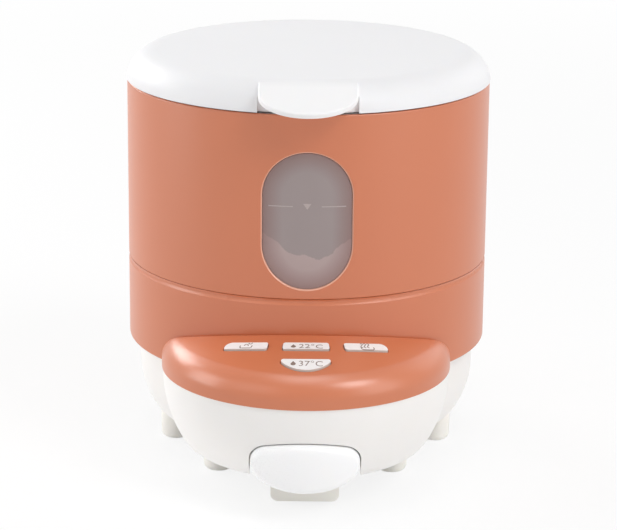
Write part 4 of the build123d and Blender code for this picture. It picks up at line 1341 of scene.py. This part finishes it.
@dataclass
class Drum:
    """Sleeve, tank with its window, valve and hinge pin."""

    radius: float = 85.0 * MM
    pane_recess: float = 0.8 * MM
    front_share: float = 0.8
    level_height: float = 136.6 * MM
    level_half_width: float = 17.2 * MM
    level_gap: float = 6.4 * MM
    level_pen: float = 0.45 * MM
    pointer_width: float = 3.6 * MM
    pointer_height: float = 2.6 * MM

    def _on_pane(self, u: float, v: float, lift: float) -> Vector:
        """Lay one point on the window pane's curved front.

        Args:
            u: How far it is to the right.
            v: How far it is above the level line.
            lift: How far it stands off the pane.

        Returns:
            The place.
        """
        radius = self.radius - self.pane_recess
        angle = math.asin(u / radius)
        reach = radius + lift
        ahead = drum_axis() - reach * math.cos(angle)
        return Vector((reach * math.sin(angle), ahead, self.level_height + v))

    def _mark(self, name: str) -> Mark:
        """A print on the pane."""
        return Mark(name, "drum", "tank_plastic", Finish.LEVEL_INK, self._on_pane)

    def _run(self, start: float, end: float, steps: int = 12) -> list[Point]:
        """Points along a stretch of the level line."""
        return [(start + (end - start) * step / steps, 0.0) for step in range(steps + 1)]

    def build(self) -> None:
        """Dress the drum and print its level line."""
        window = Window(drum_axis() - self.radius * self.front_share)
        plain = asdict(Finish.TERRACOTTA.value) | {"name": "sleeve_plastic"}
        dress(["drum_sleeve"], SleevePlastic(**plain, window=window))
        pane = FrostedPane("tank_plastic", window, drum_axis(), self.radius - self.pane_recess)
        dress(["water_tank"], pane)
        dress(["valve_poppet"], Finish.IVORY)
        dress(["valve_washer"], Finish.SEAL)
        CoilSpring("valve_spring", "drum", "valve_lift", "contact_metal", Finish.CONTACT).build()
        dress(["hinge_pin"], Finish.SCREW)
        outer, inner = self.level_half_width, self.level_gap
        runs = [self._run(-outer, -inner), self._run(inner, outer)]
        self._mark("level_line").strokes(runs, self.level_pen)
        half, tall = self.pointer_width / 2, self.pointer_height
        self._mark("level_pointer").outline([(-half, tall / 2), (0.0, -tall / 2), (half, tall / 2)])


@dataclass
class Lid:
    """Lid cover, liner and gasket."""

    tab_length: float = 26.0 * MM

    def build(self) -> None:
        """Dress the lid."""
        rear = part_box("lid_cover")[0].y + self.tab_length
        plain = asdict(Finish.LID.value) | {"name": "lid_cover_plastic"}
        dress(["lid_cover"], LidPlastic(**plain, tab_rear=rear))
        dress(["lid_liner"], Finish.LID)
        dress(["lid_gasket"], Finish.SEAL)


@dataclass
class SpoutHead:
    """White nose, tray, duct and nozzle, and the guide that they slide on."""

    def build(self) -> None:
        """Dress the spout head."""
        dress(["nose_cap"], Finish.NOSE)
        dress(["spout_carrier", "nozzle_block", "spout_guide"], Finish.IVORY)
        dress(["spout_duct"], Finish.HOSE)


@dataclass
class WaterWorks:
    """Pump, heater, hoses, seal and power board inside the belly."""

    pump_joint: float = -40.0 * MM
    pump_motor: Colour = (0.45, 0.45, 0.46)
    pump_head: Colour = (0.10, 0.10, 0.11)
    board_thickness: float = 1.6 * MM

    def build(self) -> None:
        """Dress the inner units."""
        pump = SplitBody("water_pump", self.pump_motor, self.pump_head, self.pump_joint, 0)
        dress(["water_pump"], pump)
        dress(["flow_heater"], Finish.HEATER)
        dress(["hose_inlet", "hose_pump", "hose_outlet"], Finish.HOSE)
        dress(["docking_seal"], Finish.SEAL)
        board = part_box("power_board")[0].z + self.board_thickness
        dress(["power_board"], CircuitBoard("power_board", board))


# ---------------------------------------------------------------------------------------------
# Studio
# ---------------------------------------------------------------------------------------------
@dataclass
class Lamp:
    """One softbox, placed round the object."""

    name: str
    azimuth: float
    elevation: float
    distance: float
    width: float
    height: float
    power: float

    def build(self, target: Vector) -> None:
        """Hang the softbox and aim it.

        Args:
            target: What it lights.
        """
        light = bpy.data.lights.new(self.name, "AREA")
        light.shape = "RECTANGLE"
        light.size = self.width
        light.size_y = self.height
        light.energy = self.power
        piece = placed(self.name, light)
        turn, rise = math.radians(self.azimuth), math.radians(self.elevation)
        away = Vector((math.sin(turn) * math.cos(rise), -math.cos(turn) * math.cos(rise), math.sin(rise)))
        piece.location = target + away * self.distance
        piece.rotation_mode = "QUATERNION"
        piece.rotation_quaternion = away.to_track_quat("Z", "Y")


@dataclass
class Studio:
    """Pale floor, softboxes, white surroundings and the camera."""

    frame_width: int = 617
    focal_pixels: float = 2478.0
    sensor: float = 36.0
    distance: float = 1.190
    pitch: float = 16.14
    roll: float = 0.515
    aim_right: float = 0.77 * MM
    aim_height: float = 85.5 * MM
    clip: Point = (0.05, 50.0)
    floor_half: float = 6.0
    floor_drop: float = 0.2 * MM
    floor_white: float = 0.96
    surroundings: float = 0.25
    floor_glow: float = 0.82
    floor_fade: Point = (0.45, 1.3)

    def build(self) -> None:
        """Make the camera, the lamps, the world and the floor."""
        target = Vector((self.aim_right, drum_axis(), self.aim_height))
        self._camera(target)
        for lamp in (
            Lamp("left_softbox", -84.0, 12.0, 1.3, 0.6, 0.8, 4.9),
            Lamp("left_fill", -40.0, 24.0, 1.5, 0.8, 0.8, 1.6),
            Lamp("front_fill", 0.0, 66.0, 1.5, 0.7, 0.7, 2.0),
            Lamp("top_softbox", 10.0, 84.0, 1.5, 0.7, 0.7, 3.8),
            Lamp("key_softbox", 46.0, 44.0, 1.7, 0.6, 0.6, 9.0),
            Lamp("right_softbox", 57.0, 14.0, 1.7, 1.0, 1.0, 5.4),
            Lamp("back_left_softbox", -130.0, 25.0, 1.4, 0.8, 0.5, 7.6),
            Lamp("back_right_softbox", 130.0, 24.0, 1.4, 1.2, 0.8, 2.0),
        ):
            lamp.build(target)
        self._world()
        self._floor()
        bpy.context.scene.view_settings.view_transform = "Standard"

    def _camera(self, target: Vector) -> None:
        """Stand the camera in front, a little above, looking down.

        Args:
            target: The point in the middle of the frame.
        """
        pitch, roll = math.radians(self.pitch), math.radians(self.roll)
        back = Vector((0.0, -math.cos(pitch), math.sin(pitch)))
        level, upright = Vector((1.0, 0.0, 0.0)), Vector((0.0, math.sin(pitch), math.cos(pitch)))
        right = level * math.cos(roll) + upright * math.sin(roll)
        up = upright * math.cos(roll) - level * math.sin(roll)
        data = bpy.data.cameras.new("camera")
        data.sensor_width = self.sensor
        data.lens = self.focal_pixels / self.frame_width * self.sensor
        data.clip_start, data.clip_end = self.clip
        camera = placed("camera", data)
        turned = Matrix((right, up, back)).transposed().to_4x4()
        camera.matrix_world = Matrix.Translation(target + back * self.distance) @ turned
        bpy.context.scene.camera = camera

    def _world(self) -> None:
        """White surroundings, at full strength only where they are seen."""
        world = bpy.data.worlds.new("surroundings")
        graph = Graph(world)
        strength = self.surroundings + (1.0 - self.surroundings) * graph.seen()
        light = graph.add("ShaderNodeBackground", inputs={"Color": (1.0, 1.0, 1.0), "Strength": strength})
        graph.add("ShaderNodeOutputWorld", inputs={"Surface": light.outputs[0]})
        bpy.context.scene.world = world

    def _floor(self) -> None:
        """Wide white floor that keeps a soft shadow near the object and turns plain white further out."""
        mesh = bpy.data.meshes.new("floor")
        half = self.floor_half
        corners = [(-half, -half, 0), (half, -half, 0), (half, half, 0), (-half, half, 0)]
        mesh.from_pydata(corners, [], [(0, 1, 2, 3)])
        floor = placed("floor", mesh)
        floor.location.z = -self.floor_drop
        graph = Graph(bpy.data.materials.new("floor_card"))
        card = graph.add("ShaderNodeBsdfDiffuse", inputs={"Color": (self.floor_white,) * 3})
        white = graph.add("ShaderNodeEmission", inputs={"Color": (1.0, 1.0, 1.0), "Strength": 1.0})
        across, depth, _ = graph.position()
        near, far = self.floor_fade
        fade = (((across * across + depth * depth) ** 0.5 - near) / (far - near)).clamped()
        factor = graph.seen() * (self.floor_glow + (1.0 - self.floor_glow) * fade)
        mix = graph.add("ShaderNodeMixShader", inputs={0: factor, 1: card.outputs[0], 2: white.outputs[0]})
        graph.add("ShaderNodeOutputMaterial", inputs={"Surface": mix.outputs[0]})
        mesh.materials.append(graph.owner)


def main() -> None:
    """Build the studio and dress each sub-assembly."""
    for assembly in (Studio(), Housing(), KeyPad(), Drum(), Lid(), SpoutHead(), WaterWorks()):
        assembly.build()
        log.info("%s built", type(assembly).__name__)


if __name__ == "__main__":
    main()
